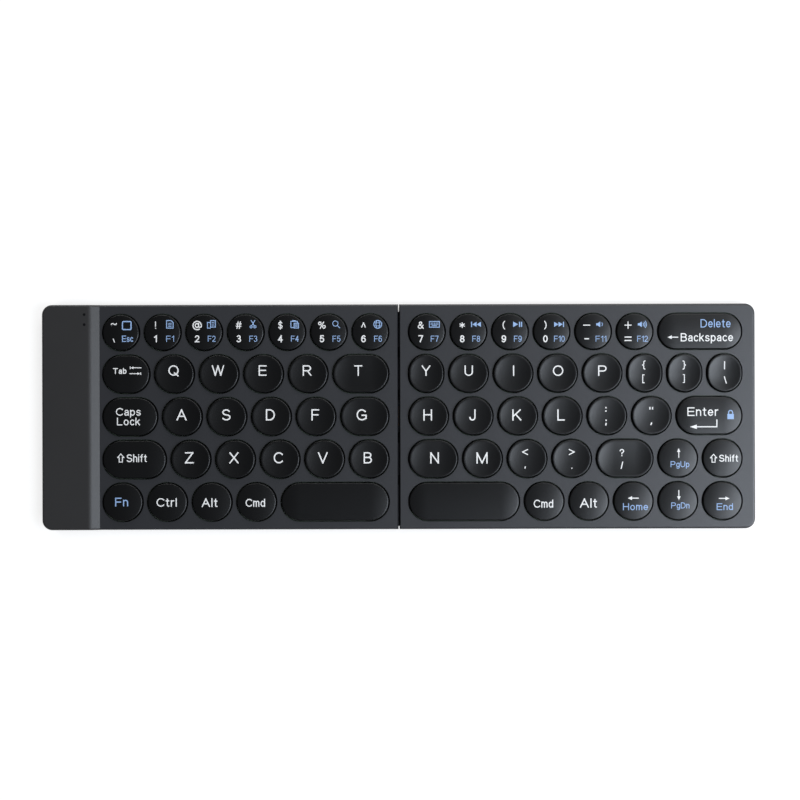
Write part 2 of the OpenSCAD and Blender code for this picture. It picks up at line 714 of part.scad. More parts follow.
// Sweeps a half section round the outline of a slot
module swept(section, w, h) {
    run = abs(w - h);
    mirrored = [for (i = [len(section) - 2:-1:1]) [-section[i][0], section[i][1]]];
    rotate([0, 0, w > h ? 0 : 90]) {
        for (end = [-1, 1]) translate([end * run / 2, 0, 0]) rotate([0, 0, -90 * end])
            rotate_extrude(angle = 180) polygon(section);
        if (run > 0) rotate([90, 0, 90]) linear_extrude(run, center = true)
            polygon(concat(section, mirrored));
    }
}

// Ribs either side of the raised bar of each scissor frame
module cap_clips() {
    clip_offset = scissor_bar / 2 + switch_clearance + clip_wall / 2;
    z_clip = z_scissor + scissor_rise / 2 - scissor_thickness / 2;
    for (end = [-1, 1]) for (side = [-1, 1])
        translate([
            end * (bar_centre + side * clip_offset) - clip_wall / 2,
            -clip_length / 2,
            z_clip
        ]) cube([clip_wall, clip_length, z_cap_roof + cap_roof / 2 - z_clip]);
}

module cap(w, h, top) {
    swept(cap_section(min(w, h) / 2 - cap_clearance, top), w - 2 * cap_clearance, h - 2 * cap_clearance);
    between(z_dome + switch_clearance / 2, z_cap_roof + cap_roof / 2) circle(d = plunger_diameter);
    cap_clips();
}

module key_node(k) color([0.13, 0.13, 0.14]) for (i = [k[3]:k[4]]) {
    well = key_at(k[1], k[2], i);
    translate([well[0], well[1], 0]) cap(well[2], well[3], k[5]);
}

// ---- Key switches ----

module sheet_2d(side) difference() {
    translate([sheet_u, -sheet_half_depth]) square([sheet_end(side) - sheet_u, 2 * sheet_half_depth]);
    at(deck_screws(side)) circle(d = boss_hole);
}

module support_plate(side) color("silver") half(side) between(z_plate, z_membrane) sheet_2d(side);
module left_support_plate() support_plate(LEFT);
module right_support_plate() support_plate(RIGHT);

module membrane(side) color("olivedrab") half(side) between(z_membrane, z_switch) {
    sheet_2d(side);
    translate([hinge_wall_u, row_y(2) - ribbon_width / 2])
        square([sheet_u - hinge_wall_u + margin, ribbon_width]);
    if (side == LEFT) translate([sheet_end(side) - margin, tail_y - tail_width / 2])
        square([connector_u - sheet_end(side) + margin, tail_width]);
}
module left_membrane() membrane(LEFT);
module right_membrane() membrane(RIGHT);

module rubber_domes(side) color("whitesmoke") for (k = half_keys(side)) translate([k[0], k[1], 0])
    rotate_extrude() polygon([
        [dome_radius - dome_wall, z_switch],
        [dome_radius, z_switch],
        [dome_top_radius, z_dome],
        [0, z_dome],
        [0, z_dome - dome_wall],
        [dome_top_radius - dome_wall / 2, z_dome - dome_wall],
    ]);
module left_rubber_domes() rubber_domes(LEFT);
module right_rubber_domes() rubber_domes(RIGHT);

module scissor_ring(width, tilt) translate([0, 0, z_scissor]) rotate([0, tilt, 0]) difference() {
    cube([scissor_size, width, scissor_thickness], center = true);
    cube([scissor_size - 2 * scissor_bar, width - 2 * scissor_bar, 2 * scissor_thickness], center = true);
}

module scissor_frames(side) color("gainsboro") for (k = half_keys(side)) translate([k[0], k[1], 0]) {
    scissor_ring(scissor_size, scissor_tilt);
    scissor_ring(inner_ring, -scissor_tilt);
}
module left_scissor_frames() scissor_frames(LEFT);
module right_scissor_frames() scissor_frames(RIGHT);

// Wire that keeps a wide key level: a bar along the key and two arms down to the membrane
module stabilisers(side) color("silver") for (k = half_keys(side)) if (k[2] >= wide_key) {
    reach = k[2] / 2 - k[3] / 2;
    bar_y = k[3] / 2 - cap_clearance - cap_draft - cap_wall - wire_diameter;
    z_bar = z_cap_roof - wire_diameter;
    drop = z_bar - z_switch - wire_diameter;
    translate([k[0], k[1] - bar_y, z_bar]) {
        rotate([0, 90, 0]) cylinder(d = wire_diameter, h = 2 * reach + wire_diameter, center = true);
        for (end = [-1, 1]) translate([end * reach, 0, 0]) rotate([-90 - atan(drop / bar_y), 0, 0])
            cylinder(d = wire_diameter, h = sqrt(drop * drop + bar_y * bar_y));
    }
}
module left_stabilisers() stabilisers(LEFT);
module right_stabilisers() stabilisers(RIGHT);

// ---- Electronics in the bay ----

module board_posts() for (u = [board_u + post_inset, board_u + board_length - post_inset])
    for (y = [board_y + post_inset, board_y + board_width - post_inset])
        translate([u, y]) between(z_base, z_board - board_thickness) circle(d = post_diameter);

// A part soldered to the board, given by its corner and size
module on_board(u, y, size) translate([u, y, z_board - board_thickness / 2])
    cube(size + [0, 0, board_thickness / 2]);

module main_board() color("darkgreen") half(LEFT) {
    translate([board_u, board_y, z_board - board_thickness])
        cube([board_length, board_width, board_thickness]);
    on_board(
        connector_u,
        tail_y - tail_width / 2 - inner_clearance,
        [connector_length, tail_width + 2 * inner_clearance, connector_height]
    );
    on_board(chip_u, chip_y, [chip_size, chip_size, chip_height]);
    on_board(chip_u, chip_y + chip_size + part_gap, [sensor_length, sensor_width, sensor_height]);
    for (p = LIGHTS)
        on_board(p[0] - led_length / 2, p[1] - led_width / 2, [led_length, led_width, led_height]);
}

// Pouch cell with its plug and two leads, whose ends sit inside both
module battery() color("lightsteelblue") half(LEFT) {
    lead_y = battery_y + battery_width - inner_clearance / 2;
    translate([battery_u, battery_y, z_floor]) cube([battery_length, battery_width, battery_thickness]);
    translate([plug_u, plug_y, z_board]) cube([plug_length, plug_width, plug_height]);
    for (end = [-1, 1])
        translate([plug_u + (plug_length + end * lead_pitch) / 2, lead_y, z_board + plug_height / 2])
            rotate([-90, 0, 0]) cylinder(d = lead_diameter, h = plug_y + inner_clearance / 2 - lead_y);
}

module charging_port() color("silver") half(LEFT) translate([port_u, port_y, z_board + port_height / 2])
    rotate([90, 0, 90]) {
        difference() {
            linear_extrude(port_depth) slot_2d(port_width, port_height);
            translate([0, 0, port_wall]) linear_extrude(port_depth)
                slot_2d(port_width - 2 * port_wall, port_height - 2 * port_wall);
        }
        translate([(port_height - port_width) / 2, -port_wall, 0])
            cube([port_width - port_height, 2 * port_wall, port_depth - 3 * port_wall]);
    }

module status_lights() color("white") half(LEFT) at(LIGHTS)
    between(z_board + led_height + switch_clearance, z_bay) circle(d = light_diameter);

// ---- Magnets, feet and screws ----

module magnets(side) color("silver") half(side) at(MAGNETS)
    between(magnet_seat(side) - magnet_thickness, magnet_seat(side)) circle(d = magnet_diameter);
module left_magnets() magnets(LEFT);
module right_magnets() magnets(RIGHT);

module feet(side) color([0.08, 0.08, 0.08]) half(side) at(FEET)
    between(0, z_base + foot_recess) slot_2d(foot_length, foot_width);
module left_feet() feet(LEFT);
module right_feet() feet(RIGHT);

module screws(side) color("silver") half(side) at(case_screws(side)) {
    between(z_head - head_height, z_head) difference() {
        circle(d = head_diameter);
        square([head_diameter / 2, head_diameter / 8], center = true);
    }
    between(z_head - head_height / 2, z_head + screw_length) circle(d = screw_diameter);
}
module left_screws() screws(LEFT);
module right_screws() screws(RIGHT);

// ---- Hinge ----

module spine_arm() {
    inner = knuckle_radius - hinge_clearance;
    translate([pin_u - inner, -knuckle_length / 2, z_spine - spine_thickness / 2])
        cube([inner + arm_reach, knuckle_length, z_pin - z_spine + spine_thickness / 2]);
    translate([pin_u, knuckle_length / 2, z_pin]) rotate([90, 0, 0])
        cylinder(r = knuckle_radius, h = knuckle_length);
}

module hinge_spine() color("gray") difference() {
    union() {
        translate([-spine_half_width, spine_front_inset - half_depth, z_spine - spine_thickness])
            cube([2 * spine_half_width, depth - spine_front_inset - spine_back_inset, spine_thickness]);
        for (side = [LEFT, RIGHT]) half(side)
            for (row = [0:ROWS - 2]) translate([0, row_boundary(row), 0]) spine_arm();
    }
    for (side = [LEFT, RIGHT]) half(side) on_pivot(lug_span, pin_diameter / 2 + pin_fit / 2);
}

module hinge_pins() color("silver") for (side = [LEFT, RIGHT]) half(side)
    on_pivot(lug_span, pin_diameter / 2);

module hinge_ribbon() color("orange")
    translate([-spine_half_width, row_y(2) - ribbon_width / 2, z_spine])
        cube([2 * spine_half_width, ribbon_width, ribbon_thickness]);

left_upper_case();
left_end_cover();
left_lower_case();
left_support_plate();
left_membrane();
left_rubber_domes();
left_scissor_frames();
left_stabilisers();
main_board();
battery();
charging_port();
status_lights();
left_magnets();
left_feet();
left_screws();
hinge_spine();
hinge_pins();
hinge_ribbon();
right_upper_case();
right_lower_case();
right_support_plate();
right_membrane();
right_rubber_domes();
right_scissor_frames();
right_stabilisers();
right_magnets();
right_feet();
right_screws();
for (k = KEY_NODES) key_node(k);
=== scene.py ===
"""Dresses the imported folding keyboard: key caps, printed legends, finishes, light and camera."""
import json
import logging
import math
from collections.abc import Callable, Sequence
from dataclasses import dataclass, field
from enum import Enum
from functools import cache

import bmesh
import bpy
import numpy as np
from mathutils import Matrix, Vector

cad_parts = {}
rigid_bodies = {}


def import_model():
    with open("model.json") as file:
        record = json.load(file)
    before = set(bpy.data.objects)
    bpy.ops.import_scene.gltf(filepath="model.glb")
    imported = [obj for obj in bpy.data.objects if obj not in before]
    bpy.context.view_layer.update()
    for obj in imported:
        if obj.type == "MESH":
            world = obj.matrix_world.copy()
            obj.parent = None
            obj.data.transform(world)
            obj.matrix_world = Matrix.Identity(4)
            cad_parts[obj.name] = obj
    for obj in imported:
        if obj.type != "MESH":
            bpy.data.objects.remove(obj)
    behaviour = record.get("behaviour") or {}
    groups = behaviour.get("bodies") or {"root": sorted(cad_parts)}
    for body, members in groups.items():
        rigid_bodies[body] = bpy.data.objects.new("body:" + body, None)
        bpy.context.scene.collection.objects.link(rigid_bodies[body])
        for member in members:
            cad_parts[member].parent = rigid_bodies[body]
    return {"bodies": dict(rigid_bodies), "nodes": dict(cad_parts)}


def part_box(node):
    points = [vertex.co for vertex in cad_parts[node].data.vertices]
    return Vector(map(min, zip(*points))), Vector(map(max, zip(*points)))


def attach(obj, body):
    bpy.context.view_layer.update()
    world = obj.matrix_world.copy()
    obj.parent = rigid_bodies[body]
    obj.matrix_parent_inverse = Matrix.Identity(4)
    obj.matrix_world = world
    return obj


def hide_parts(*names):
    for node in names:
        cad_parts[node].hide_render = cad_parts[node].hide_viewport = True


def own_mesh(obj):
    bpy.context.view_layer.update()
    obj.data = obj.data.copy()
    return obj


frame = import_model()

LOG = logging.getLogger("folding_keyboard")
MM = 0.001
JOIN = 1e-6  # Points this near to each other are one, in metres.
ARC_STEP = 20  # Turn between two points of an arc, in degrees.
HEAD_WIDTH = 0.92  # Width of an arrow's head, as a share of its length.
Point = tuple[float, float]
Socket = bpy.types.NodeSocket
Material = bpy.types.Material
Object = bpy.types.Object
BMesh = bmesh.types.BMesh


class Ink(Enum):
    """Printing inks, as the index of their material on a legend."""

    WHITE = 0
    BLUE = 1


class Top(Enum):
    """Form of a key's top."""

    DISHED = "dished"
    CROWNED = "crowned"


# ---- Finishes ----


def add_node(
    tree: bpy.types.NodeTree, kind: str, feeds: dict | None = None, **settings: object,
) -> bpy.types.Node:
    """Adds a node to a tree.

    Args:
        tree: The tree.
        kind: Type of the node.
        feeds: Value or output socket for each of its inputs, by name or number.
        settings: Properties of the node.

    Returns:
        The new node.
    """
    node = tree.nodes.new(kind)
    for key, value in settings.items():
        setattr(node, key, value)
    for key, value in (feeds or {}).items():
        if isinstance(value, Socket):
            tree.links.new(value, node.inputs[key])
        else:
            node.inputs[key].default_value = value
    return node


class ShaderGraph:
    """One material with a Principled surface and the nodes that feed it.

    Attributes:
        noise_range: Stretch of a noise factor that takes up the whole range it is mapped to.
    """

    noise_range = (0.3, 0.7)

    def __init__(self, name: str) -> None:
        """Starts an empty material.

        Args:
            name: Name of the material.
        """
        self.material = bpy.data.materials.new(name)
        self.material.use_nodes = True
        self.tree = self.material.node_tree
        self.tree.nodes.clear()
        self.surface = self.add("ShaderNodeBsdfPrincipled")
        self.output = self.add("ShaderNodeOutputMaterial", {"Surface": self.surface.outputs["BSDF"]})
        self.place = self.add("ShaderNodeTexCoord").outputs["Object"]

    def add(self, kind: str, feeds: dict | None = None, **settings: object) -> bpy.types.Node:
        """Adds a node to the material."""
        return add_node(self.tree, kind, feeds, **settings)

    def noise(self, scale: float, detail: float, stretch: Sequence[float] = (1, 1, 1)) -> Socket:
        """Adds noise in object space.

        Args:
            scale: Noise scale, per metre.
            detail: Octaves of the noise.
            stretch: Factor on each axis.

        Returns:
            The noise factor.
        """
        spread = self.add("ShaderNodeMapping", {"Vector": self.place, "Scale": tuple(stretch)})
        feeds = {"Vector": spread.outputs[0], "Scale": scale, "Detail": detail}
        return self.add("ShaderNodeTexNoise", feeds).outputs[0]

    def between(self, factor: Socket, low: float, high: float) -> Socket:
        """Maps a factor around its middle to a range.

        Args:
            factor: Factor from 0 to 1.
            low: Value at the low end.
            high: Value at the high end.

        Returns:
            The mapped value.
        """
        start, end = self.noise_range
        feeds = {"Value": factor, "From Min": start, "From Max": end, "To Min": low, "To Max": high}
        return self.add("ShaderNodeMapRange", feeds).outputs[0]

    def tint(self, factor: Socket, low: Sequence[float], high: Sequence[float]) -> Socket:
        """Blends two colours.

        Args:
            factor: Factor from 0 to 1.
            low: Colour at the low end.
            high: Colour at the high end.

        Returns:
            The blended colour.
        """
        node = self.add("ShaderNodeMix", {0: factor}, data_type="RGBA")
        for name, colour in (("A", low), ("B", high)):
            next(s for s in node.inputs if s.name == name and s.enabled).default_value = (*colour, 1)
        return next(s for s in node.outputs if s.enabled)

    def feed(self, name: str, value: object) -> None:
        """Sets or links an input of the surface.

        Args:
            name: Name of the input.
            value: Value or output socket.
        """
        if isinstance(value, Socket):
            self.tree.links.new(value, self.surface.inputs[name])
        else:
            self.surface.inputs[name].default_value = value

    def bump(self, height: Socket, depth: float) -> None:
        """Turns a height into the surface's normal.

        Args:
            height: Height from 0 to 1.
            depth: Depth of the relief in metres.
        """
        relief = self.add("ShaderNodeBump", {"Height": height, "Distance": depth, "Strength": 1.0})
        self.feed("Normal", relief.outputs[0])


@dataclass(frozen=True)
class Finish:
    """A plain or mottled finish with a fine grain.

    Attributes:
        name: Name of the material.
        dark: Colour in the hollows of the mottling.
        light: Colour between them.
        roughness: Lowest and highest roughness.
        metallic: 1 for bare metal.
        mottle: Noise scale of the mottling, per metre.
        grain: Noise scale of the grain, per metre.
        depth: Depth of the grain in metres.
        stretch: Factor of the grain on each axis, for drawn or brushed metal.
        specular: Specular level.
        coat: Weight of a clear coat.
        sheen: Weight of a soft sheen.
        mottle_detail: Octaves of the mottling.
        grain_detail: Octaves of the grain.
    """

    name: str
    dark: tuple[float, float, float]
    light: tuple[float, float, float]
    roughness: tuple[float, float]
    metallic: float = 0.0
    mottle: float = 60.0
    grain: float = 5000.0
    depth: float = 0.00002
    stretch: tuple[float, float, float] = (1, 1, 1)
    specular: float = 0.5
    coat: float = 0.0
    sheen: float = 0.0
    mottle_detail = 3
    grain_detail = 2

    def make(self) -> Material:
        """Builds the material.

        Returns:
            The finished material.
        """
        graph = ShaderGraph(self.name)
        mottling = graph.noise(self.mottle, self.mottle_detail)
        grain = graph.noise(self.grain, self.grain_detail, self.stretch)
        graph.feed("Base Color", graph.tint(mottling, self.dark, self.light))
        graph.feed("Roughness", graph.between(grain, *self.roughness))
        graph.feed("Metallic", self.metallic)
        graph.feed("Specular IOR Level", self.specular)
        graph.feed("Coat Weight", self.coat)
        graph.feed("Sheen Weight", self.sheen)
        graph.bump(grain, self.depth)
        return graph.material


@cache
def material_of(finish: Finish) -> Material:
    """Returns the material of a finish, which is made once."""
    return finish.make()


CASE = Finish(
    "satin case plastic", (0.0236, 0.0240, 0.0268), (0.0286, 0.0290, 0.0324), (0.34, 0.40),
    grain=7000, depth=6e-6, specular=0.66,
)
BAY = Finish(
    "satin bay plastic", (0.0270, 0.0258, 0.0254), (0.0318, 0.0304, 0.0300), (0.40, 0.46),
    grain=7000, depth=6e-6,
)
CAP = Finish(
    "key cap plastic", (0.0042, 0.0042, 0.0044), (0.0054, 0.0054, 0.0058), (0.285, 0.335),
    grain=9000, depth=3e-6, specular=0.45,
)
INK_WHITE = Finish(
    "white legend ink", (0.95, 0.93, 0.90), (0.98, 0.97, 0.94), (0.45, 0.55), grain=12000, depth=2e-6,
)
INK_BLUE = Finish(
    "blue legend ink", (0.32, 0.48, 0.76), (0.36, 0.53, 0.83), (0.45, 0.55), grain=12000, depth=2e-6,
)
LIGHT_PIPE = Finish(
    "smoked light pipe", (0.006, 0.006, 0.007), (0.009, 0.009, 0.010), (0.12, 0.18), coat=0.4,
)
SHEET_STEEL = Finish(
    "rolled sheet steel", (0.42, 0.42, 0.43), (0.50, 0.50, 0.51), (0.28, 0.42), metallic=1.0,
    grain=900, depth=4e-6, stretch=(0.06, 1, 1),
)
SPINE_STEEL = Finish(
    "blackened spine steel", (0.045, 0.045, 0.048), (0.06, 0.06, 0.064), (0.32, 0.42), metallic=1.0,
    grain=1200, depth=4e-6, stretch=(1, 0.08, 1),
)
WIRE = Finish("drawn wire", (0.50, 0.50, 0.50), (0.58, 0.58, 0.58), (0.22, 0.32), metallic=1.0, grain=2500)
SCREW = Finish("blackened screw steel", (0.05, 0.05, 0.052), (0.07, 0.07, 0.072), (0.28, 0.36), metallic=1.0)
MAGNET = Finish("nickel plate", (0.55, 0.53, 0.50), (0.62, 0.60, 0.57), (0.12, 0.2), metallic=1.0)
PORT = Finish("port shell", (0.45, 0.45, 0.46), (0.55, 0.55, 0.56), (0.2, 0.3), metallic=1.0, grain=1500)
FILM = Finish("membrane film", (0.10, 0.13, 0.10), (0.16, 0.20, 0.15), (0.25, 0.35), mottle=400, coat=0.2)
RIBBON = Finish("ribbon film", (0.35, 0.16, 0.03), (0.42, 0.21, 0.05), (0.25, 0.35), mottle=300, coat=0.3)
SILICONE = Finish("moulded silicone", (0.62, 0.62, 0.60), (0.68, 0.68, 0.66), (0.45, 0.55), sheen=0.1)
SCISSOR = Finish("natural moulding", (0.66, 0.66, 0.64), (0.72, 0.72, 0.70), (0.38, 0.46))
SOLDER_MASK = Finish(
    "solder mask", (0.010, 0.07, 0.03), (0.014, 0.10, 0.045), (0.22, 0.3), mottle=500, coat=0.4,
)
POUCH = Finish(
    "foil pouch", (0.50, 0.51, 0.53), (0.60, 0.61, 0.63), (0.25, 0.38), metallic=0.8, grain=700, depth=3e-5,
)
FOOT = Finish(
    "foot rubber", (0.012, 0.012, 0.012), (0.018, 0.018, 0.018), (0.75, 0.9), grain=4000, depth=1.5e-5,
)


# ---- Meshes ----


def link(name: str, mesh: bpy.types.Mesh) -> Object:
    """Puts a mesh into the scene.

    Args:
        name: Name of the piece.
        mesh: Its mesh.

    Returns:
        The new object.
    """
    mesh.name = name
    piece = bpy.data.objects.new(name, mesh)
    bpy.context.scene.collection.objects.link(piece)
    return piece


def piece_of(name: str, mesh: BMesh, materials: Sequence[Material] = ()) -> Object:
    """Turns a mesh under construction into a piece, and frees it.

    Args:
        name: Name of the piece.
        mesh: The mesh under construction.
        materials: Materials of the piece.

    Returns:
        The new object.
    """
    shape = bpy.data.meshes.new(name)
    mesh.to_mesh(shape)
    mesh.free()
    for material in materials:
        shape.materials.append(material)
    return link(name, shape)


def store(mesh: bpy.types.Mesh, values: dict[str, list[tuple[float, float, float]]]) -> None:
    """Stores vectors on the points of a mesh.

    Args:
        mesh: The mesh.
        values: Vector of each point, by the name they are stored under.
    """
    for name, vectors in values.items():
        layer = mesh.attributes.new(name, "FLOAT_VECTOR", "POINT")
        layer.data.foreach_set("vector", np.array(vectors, np.float32).ravel())


@dataclass(frozen=True)
class Block:
    """Bounding box of one solid.

    Attributes:
        low: Lowest corner.
        high: Highest corner.
    """

    low: Vector
    high: Vector

    @property
    def centre(self) -> Vector:
        """Middle of the box."""
        return (self.low + self.high) / 2

    @property
    def size(self) -> Vector:
        """Extent of the box."""
        return self.high - self.low


def merged(node: str) -> BMesh:
    """Copies a CAD node's triangles into one joined mesh.

    Args:
        node: Name of the CAD node.

    Returns:
        The mesh, which the caller frees.
    """
    mesh = bmesh.new()
    mesh.from_mesh(frame["nodes"][node].data)
    bmesh.ops.remove_doubles(mesh, verts=mesh.verts, dist=JOIN)
    mesh.verts.index_update()
    return mesh


def islands(mesh: BMesh) -> list[tuple[Block, set[int]]]:
    """Finds the separate solids of a mesh, from left to right.

    Args:
        mesh: A joined mesh.

    Returns:
        Box and points of each solid.
    """
    left, found = set(mesh.verts), []
    while left:
        island, reached = set(), [left.pop()]
        while reached:
            vertex = reached.pop()
            island.add(vertex)
            for other in (edge.other_vert(vertex) for edge in vertex.link_edges):
                if other in left:
                    left.remove(other)
                    reached.append(other)
        places = np.array([v.co for v in island])
        block = Block(Vector(places.min(0)), Vector(places.max(0)))
        found.append((block, {v.index for v in island}))
    return sorted(found, key=lambda solid: solid[0].low.x)


def solids_of(node: str) -> list[Block]:
    """Boxes of a CAD node's solids, from left to right.

    Args:
        node: Name of the CAD node.

    Returns:
        One box for each solid.
    """
    mesh = merged(node)
    blocks = [block for block, _ in islands(mesh)]
    mesh.free()
    return blocks


# ---- Key caps ----


@dataclass(frozen=True)
class CapForm:
    """Section of a key cap, in millimetres, measured from the edge of its skirt and from its highest level.

    Attributes:
        top: Form of the top.
        draft: Draft of the skirt.
        rim: Rounding of the rim.
        skirt: Wall of the skirt.
        roof: Thinnest part of the roof.
        dish: Depth of a dished top.
        crown: Height of a crowned top.
        ink: Room left over a crowned top for its legend.
        fillet: Fillet between the skirt and the roof, inside.
        chamfer: Chamfer of the skirt's foot.
        sides: Corners round the cap.
        rim_steps: Steps of the rim's rounding.
        top_steps: Steps from the rim to the middle.
        drawn_radius: Radius of the pattern, before each well gives its own.
    """

    top: Top
    draft: float = 0.2
    rim: float = 0.4
    skirt: float = 0.8
    roof: float = 0.9
    dish: float = 0.45
    crown: float = 0.35
    ink: float = 0.02
    fillet: float = 0.15
    chamfer: float = 0.05
    sides: int = 72
    rim_steps: int = 6
    top_steps: int = 12
    drawn_radius: float = 8.0

    @property
    def rim_level(self) -> float:
        """Height of the rim's edge below the highest level."""
        return -self.crown if self.top is Top.CROWNED else 0.0

    @property
    def rise(self) -> float:
        """Height of the middle over the rim."""
        return self.crown - self.ink if self.top is Top.CROWNED else -self.dish

    def section(self, depth: float) -> list[tuple[float, float, float]]:
        """Points from under the roof, round the skirt and the rim, to the middle of the top.

        Args:
            depth: Height of the whole cap.

        Returns:
            Share of the radius, inset from the skirt's edge, and height of each point.
        """
        inner = self.draft + self.skirt
        under = -self.dish - self.roof
        points = [(0.0, 0.0, under), (1.0, inner + self.fillet, under), (1.0, inner, under - self.fillet)]
        points += [(1.0, inner, -depth), (1.0, self.chamfer, -depth), (1.0, 0.0, self.chamfer - depth)]
        for step in range(self.rim_steps + 1):
            turn = math.pi / 2 * step / self.rim_steps
            inset = self.draft + self.rim * (1 - math.cos(turn))
            points.append((1.0, inset, self.rim_level - self.rim * (1 - math.sin(turn))))
        for step in range(1, self.top_steps + 1):
            share = 1 - step / self.top_steps
            points.append((share, self.draft + self.rim, self.rim_level + self.rise * (1 - share * share)))
        return points

    def height_at(self, x: float, y: float, cap: Block) -> float:
        """Height of the top at a place on a cap.

        Args:
            x: Place along X from the cap's middle, in metres.
            y: Place along Y from the cap's middle, in metres.
            cap: Box of the cap.

        Returns:
            Height of the surface, in metres.
        """
        radius = min(cap.size.x, cap.size.y) / 2
        off = math.hypot(max(abs(x) - cap.size.x / 2 + radius, 0), max(abs(y) - cap.size.y / 2 + radius, 0))
        share = min(off / (radius - (self.draft + self.rim) * MM), 1)
        return cap.high.z + (self.rim_level + self.rise * (1 - share * share)) * MM

    def pattern(self, depth: float) -> Object:
        """Makes the round cap that is repeated, with its section stored on its points.

        Args:
            depth: Height of the whole cap in millimetres.

        Returns:
            The pattern, which is deleted after use.
        """
        section = self.section(depth)
        rows, data = [], {"turn": [], "section": []}
        turns = [2 * math.pi * (i + 0.5) / self.sides for i in range(self.sides)]
        mesh = bmesh.new()
        for share, inset, height in section:
            reach = share * (self.drawn_radius - inset) * MM
            rows.append([
                mesh.verts.new(Vector((reach * math.cos(t), reach * math.sin(t), height * MM)))
                for t in turns
            ])
            data["turn"] += [(math.cos(t), math.sin(t), 0) for t in turns]
            data["section"] += [(share, inset * MM, height * MM)] * self.sides
        for low, high in zip(rows, rows[1:]):
            for i in range(self.sides):
                j = (i + 1) % self.sides
                mesh.faces.new((low[j], low[i], high[i], high[j]))
        cap = piece_of(f"{self.top.value}_cap_pattern", mesh)
        store(cap.data, data)
        return cap


class CapTree:
    """Geometry Nodes that set a cap into each well and draw it out to the well's length.

    Attributes:
        merging: Distance within which points become one, in metres.
        sharp_angle: Least angle of a sharp edge.
    """

    merging = 2e-6
    sharp_angle = math.radians(40)

    def __init__(self) -> None:
        """Builds the tree, whose inputs are the pattern, the material and the merging distance."""
        self.tree = bpy.data.node_groups.new("key caps in their wells", "GeometryNodeTree")
        face = self.tree.interface
        face.new_socket("Geometry", in_out="INPUT", socket_type="NodeSocketGeometry")
        self.inputs = {
            "Pattern": face.new_socket("Pattern", in_out="INPUT", socket_type="NodeSocketObject"),
            "Finish": face.new_socket("Finish", in_out="INPUT", socket_type="NodeSocketMaterial"),
            "Merge": face.new_socket("Merge", in_out="INPUT", socket_type="NodeSocketFloat"),
        }
        face.new_socket("Geometry", in_out="OUTPUT", socket_type="NodeSocketGeometry")
        start = self._add("NodeGroupInput")
        pattern = self._add("GeometryNodeObjectInfo", {"Object": start.outputs["Pattern"]})
        wells = self._add(
            "GeometryNodeInstanceOnPoints",
            {"Points": start.outputs["Geometry"], "Instance": pattern.outputs["Geometry"]},
        )
        real = self._add("GeometryNodeRealizeInstances", {"Geometry": wells.outputs[0]})
        section = self._add("ShaderNodeSeparateXYZ", {0: self._stored("section")})
        radius = self._add("ShaderNodeSeparateXYZ", {0: self._stored("radius")})
        inside = self._math("SUBTRACT", radius.outputs[0], section.outputs[1])
        reach = self._math("MULTIPLY", inside, section.outputs[0])
        outward = self._add(
            "ShaderNodeVectorMath", {0: self._stored("turn"), "Scale": reach}, operation="SCALE",
        )
        towards = self._add("ShaderNodeVectorMath", {0: self._stored("turn")}, operation="SIGN")
        drawn = self._vector("MULTIPLY", towards.outputs[0], self._stored("run"))
        lifted = self._add("ShaderNodeCombineXYZ", {2: section.outputs[2]})
        place = self._vector("ADD", self._vector("ADD", self._stored("middle"), outward.outputs[0]), drawn)
        place = self._vector("ADD", place, lifted.outputs[0])
        moved = self._add("GeometryNodeSetPosition", {"Geometry": real.outputs[0], "Position": place})
        feeds = {"Geometry": moved.outputs[0], "Distance": start.outputs["Merge"]}
        joined = self._add("GeometryNodeMergeByDistance", feeds)
        dressed = self._add(
            "GeometryNodeSetMaterial", {"Geometry": joined.outputs[0], "Material": start.outputs["Finish"]},
        )
        self._add("NodeGroupOutput", {"Geometry": dressed.outputs[0]})

    def _add(self, kind: str, feeds: dict | None = None, **settings: object) -> bpy.types.Node:
        """Adds a node to the tree."""
        return add_node(self.tree, kind, feeds, **settings)

    def _stored(self, name: str) -> Socket:
        """Reads a vector stored on the points."""
        node = self._add("GeometryNodeInputNamedAttribute", {"Name": name}, data_type="FLOAT_VECTOR")
        return next(s for s in node.outputs if s.enabled and s.name == "Attribute")

    def _math(self, operation: str, first: Socket, second: Socket) -> Socket:
        """Combines two numbers."""
        return self._add("ShaderNodeMath", {0: first, 1: second}, operation=operation).outputs[0]

    def _vector(self, operation: str, first: Socket, second: Socket) -> Socket:
        """Combines two vectors."""
        return self._add("ShaderNodeVectorMath", {0: first, 1: second}, operation=operation).outputs[0]

    def fill(self, name: str, caps: Sequence[Block], pattern: Object, finish: Material) -> Object:
        """Sets caps into their wells as one plain mesh.

        Args:
            name: Name of the piece.
            caps: Box of each cap.
            pattern: The cap that is repeated.
            finish: Material of the caps.

        Returns:
            The piece.
        """
        points = bpy.data.meshes.new(name)
        points.from_pydata([cap.centre for cap in caps], [], [])
        radii = [min(cap.size.x, cap.size.y) / 2 for cap in caps]
        store(points, {
            "middle": [(cap.centre.x, cap.centre.y, cap.high.z) for cap in caps],
            "radius": [(r, r, r) for r in radii],
            "run": [(cap.size.x / 2 - r, cap.size.y / 2 - r, 0) for cap, r in zip(caps, radii)],
        })
        wells = link(f"{name}_wells", points)
        modifier = wells.modifiers.new("caps", "NODES")
        modifier.node_group = self.tree
        modifier[self.inputs["Pattern"].identifier] = pattern
        modifier[self.inputs["Finish"].identifier] = finish
        modifier[self.inputs["Merge"].identifier] = self.merging
        shape = bpy.data.meshes.new_from_object(wells.evaluated_get(bpy.context.evaluated_depsgraph_get()))
        bpy.data.objects.remove(wells)
        for key in ("turn", "section", "middle", "radius", "run"):
            if key in shape.attributes:
                shape.attributes.remove(shape.attributes[key])
        shape.shade_smooth()
        shape.set_sharp_from_angle(angle=self.sharp_angle)
        return link(name, shape)


# ---- Legends ----


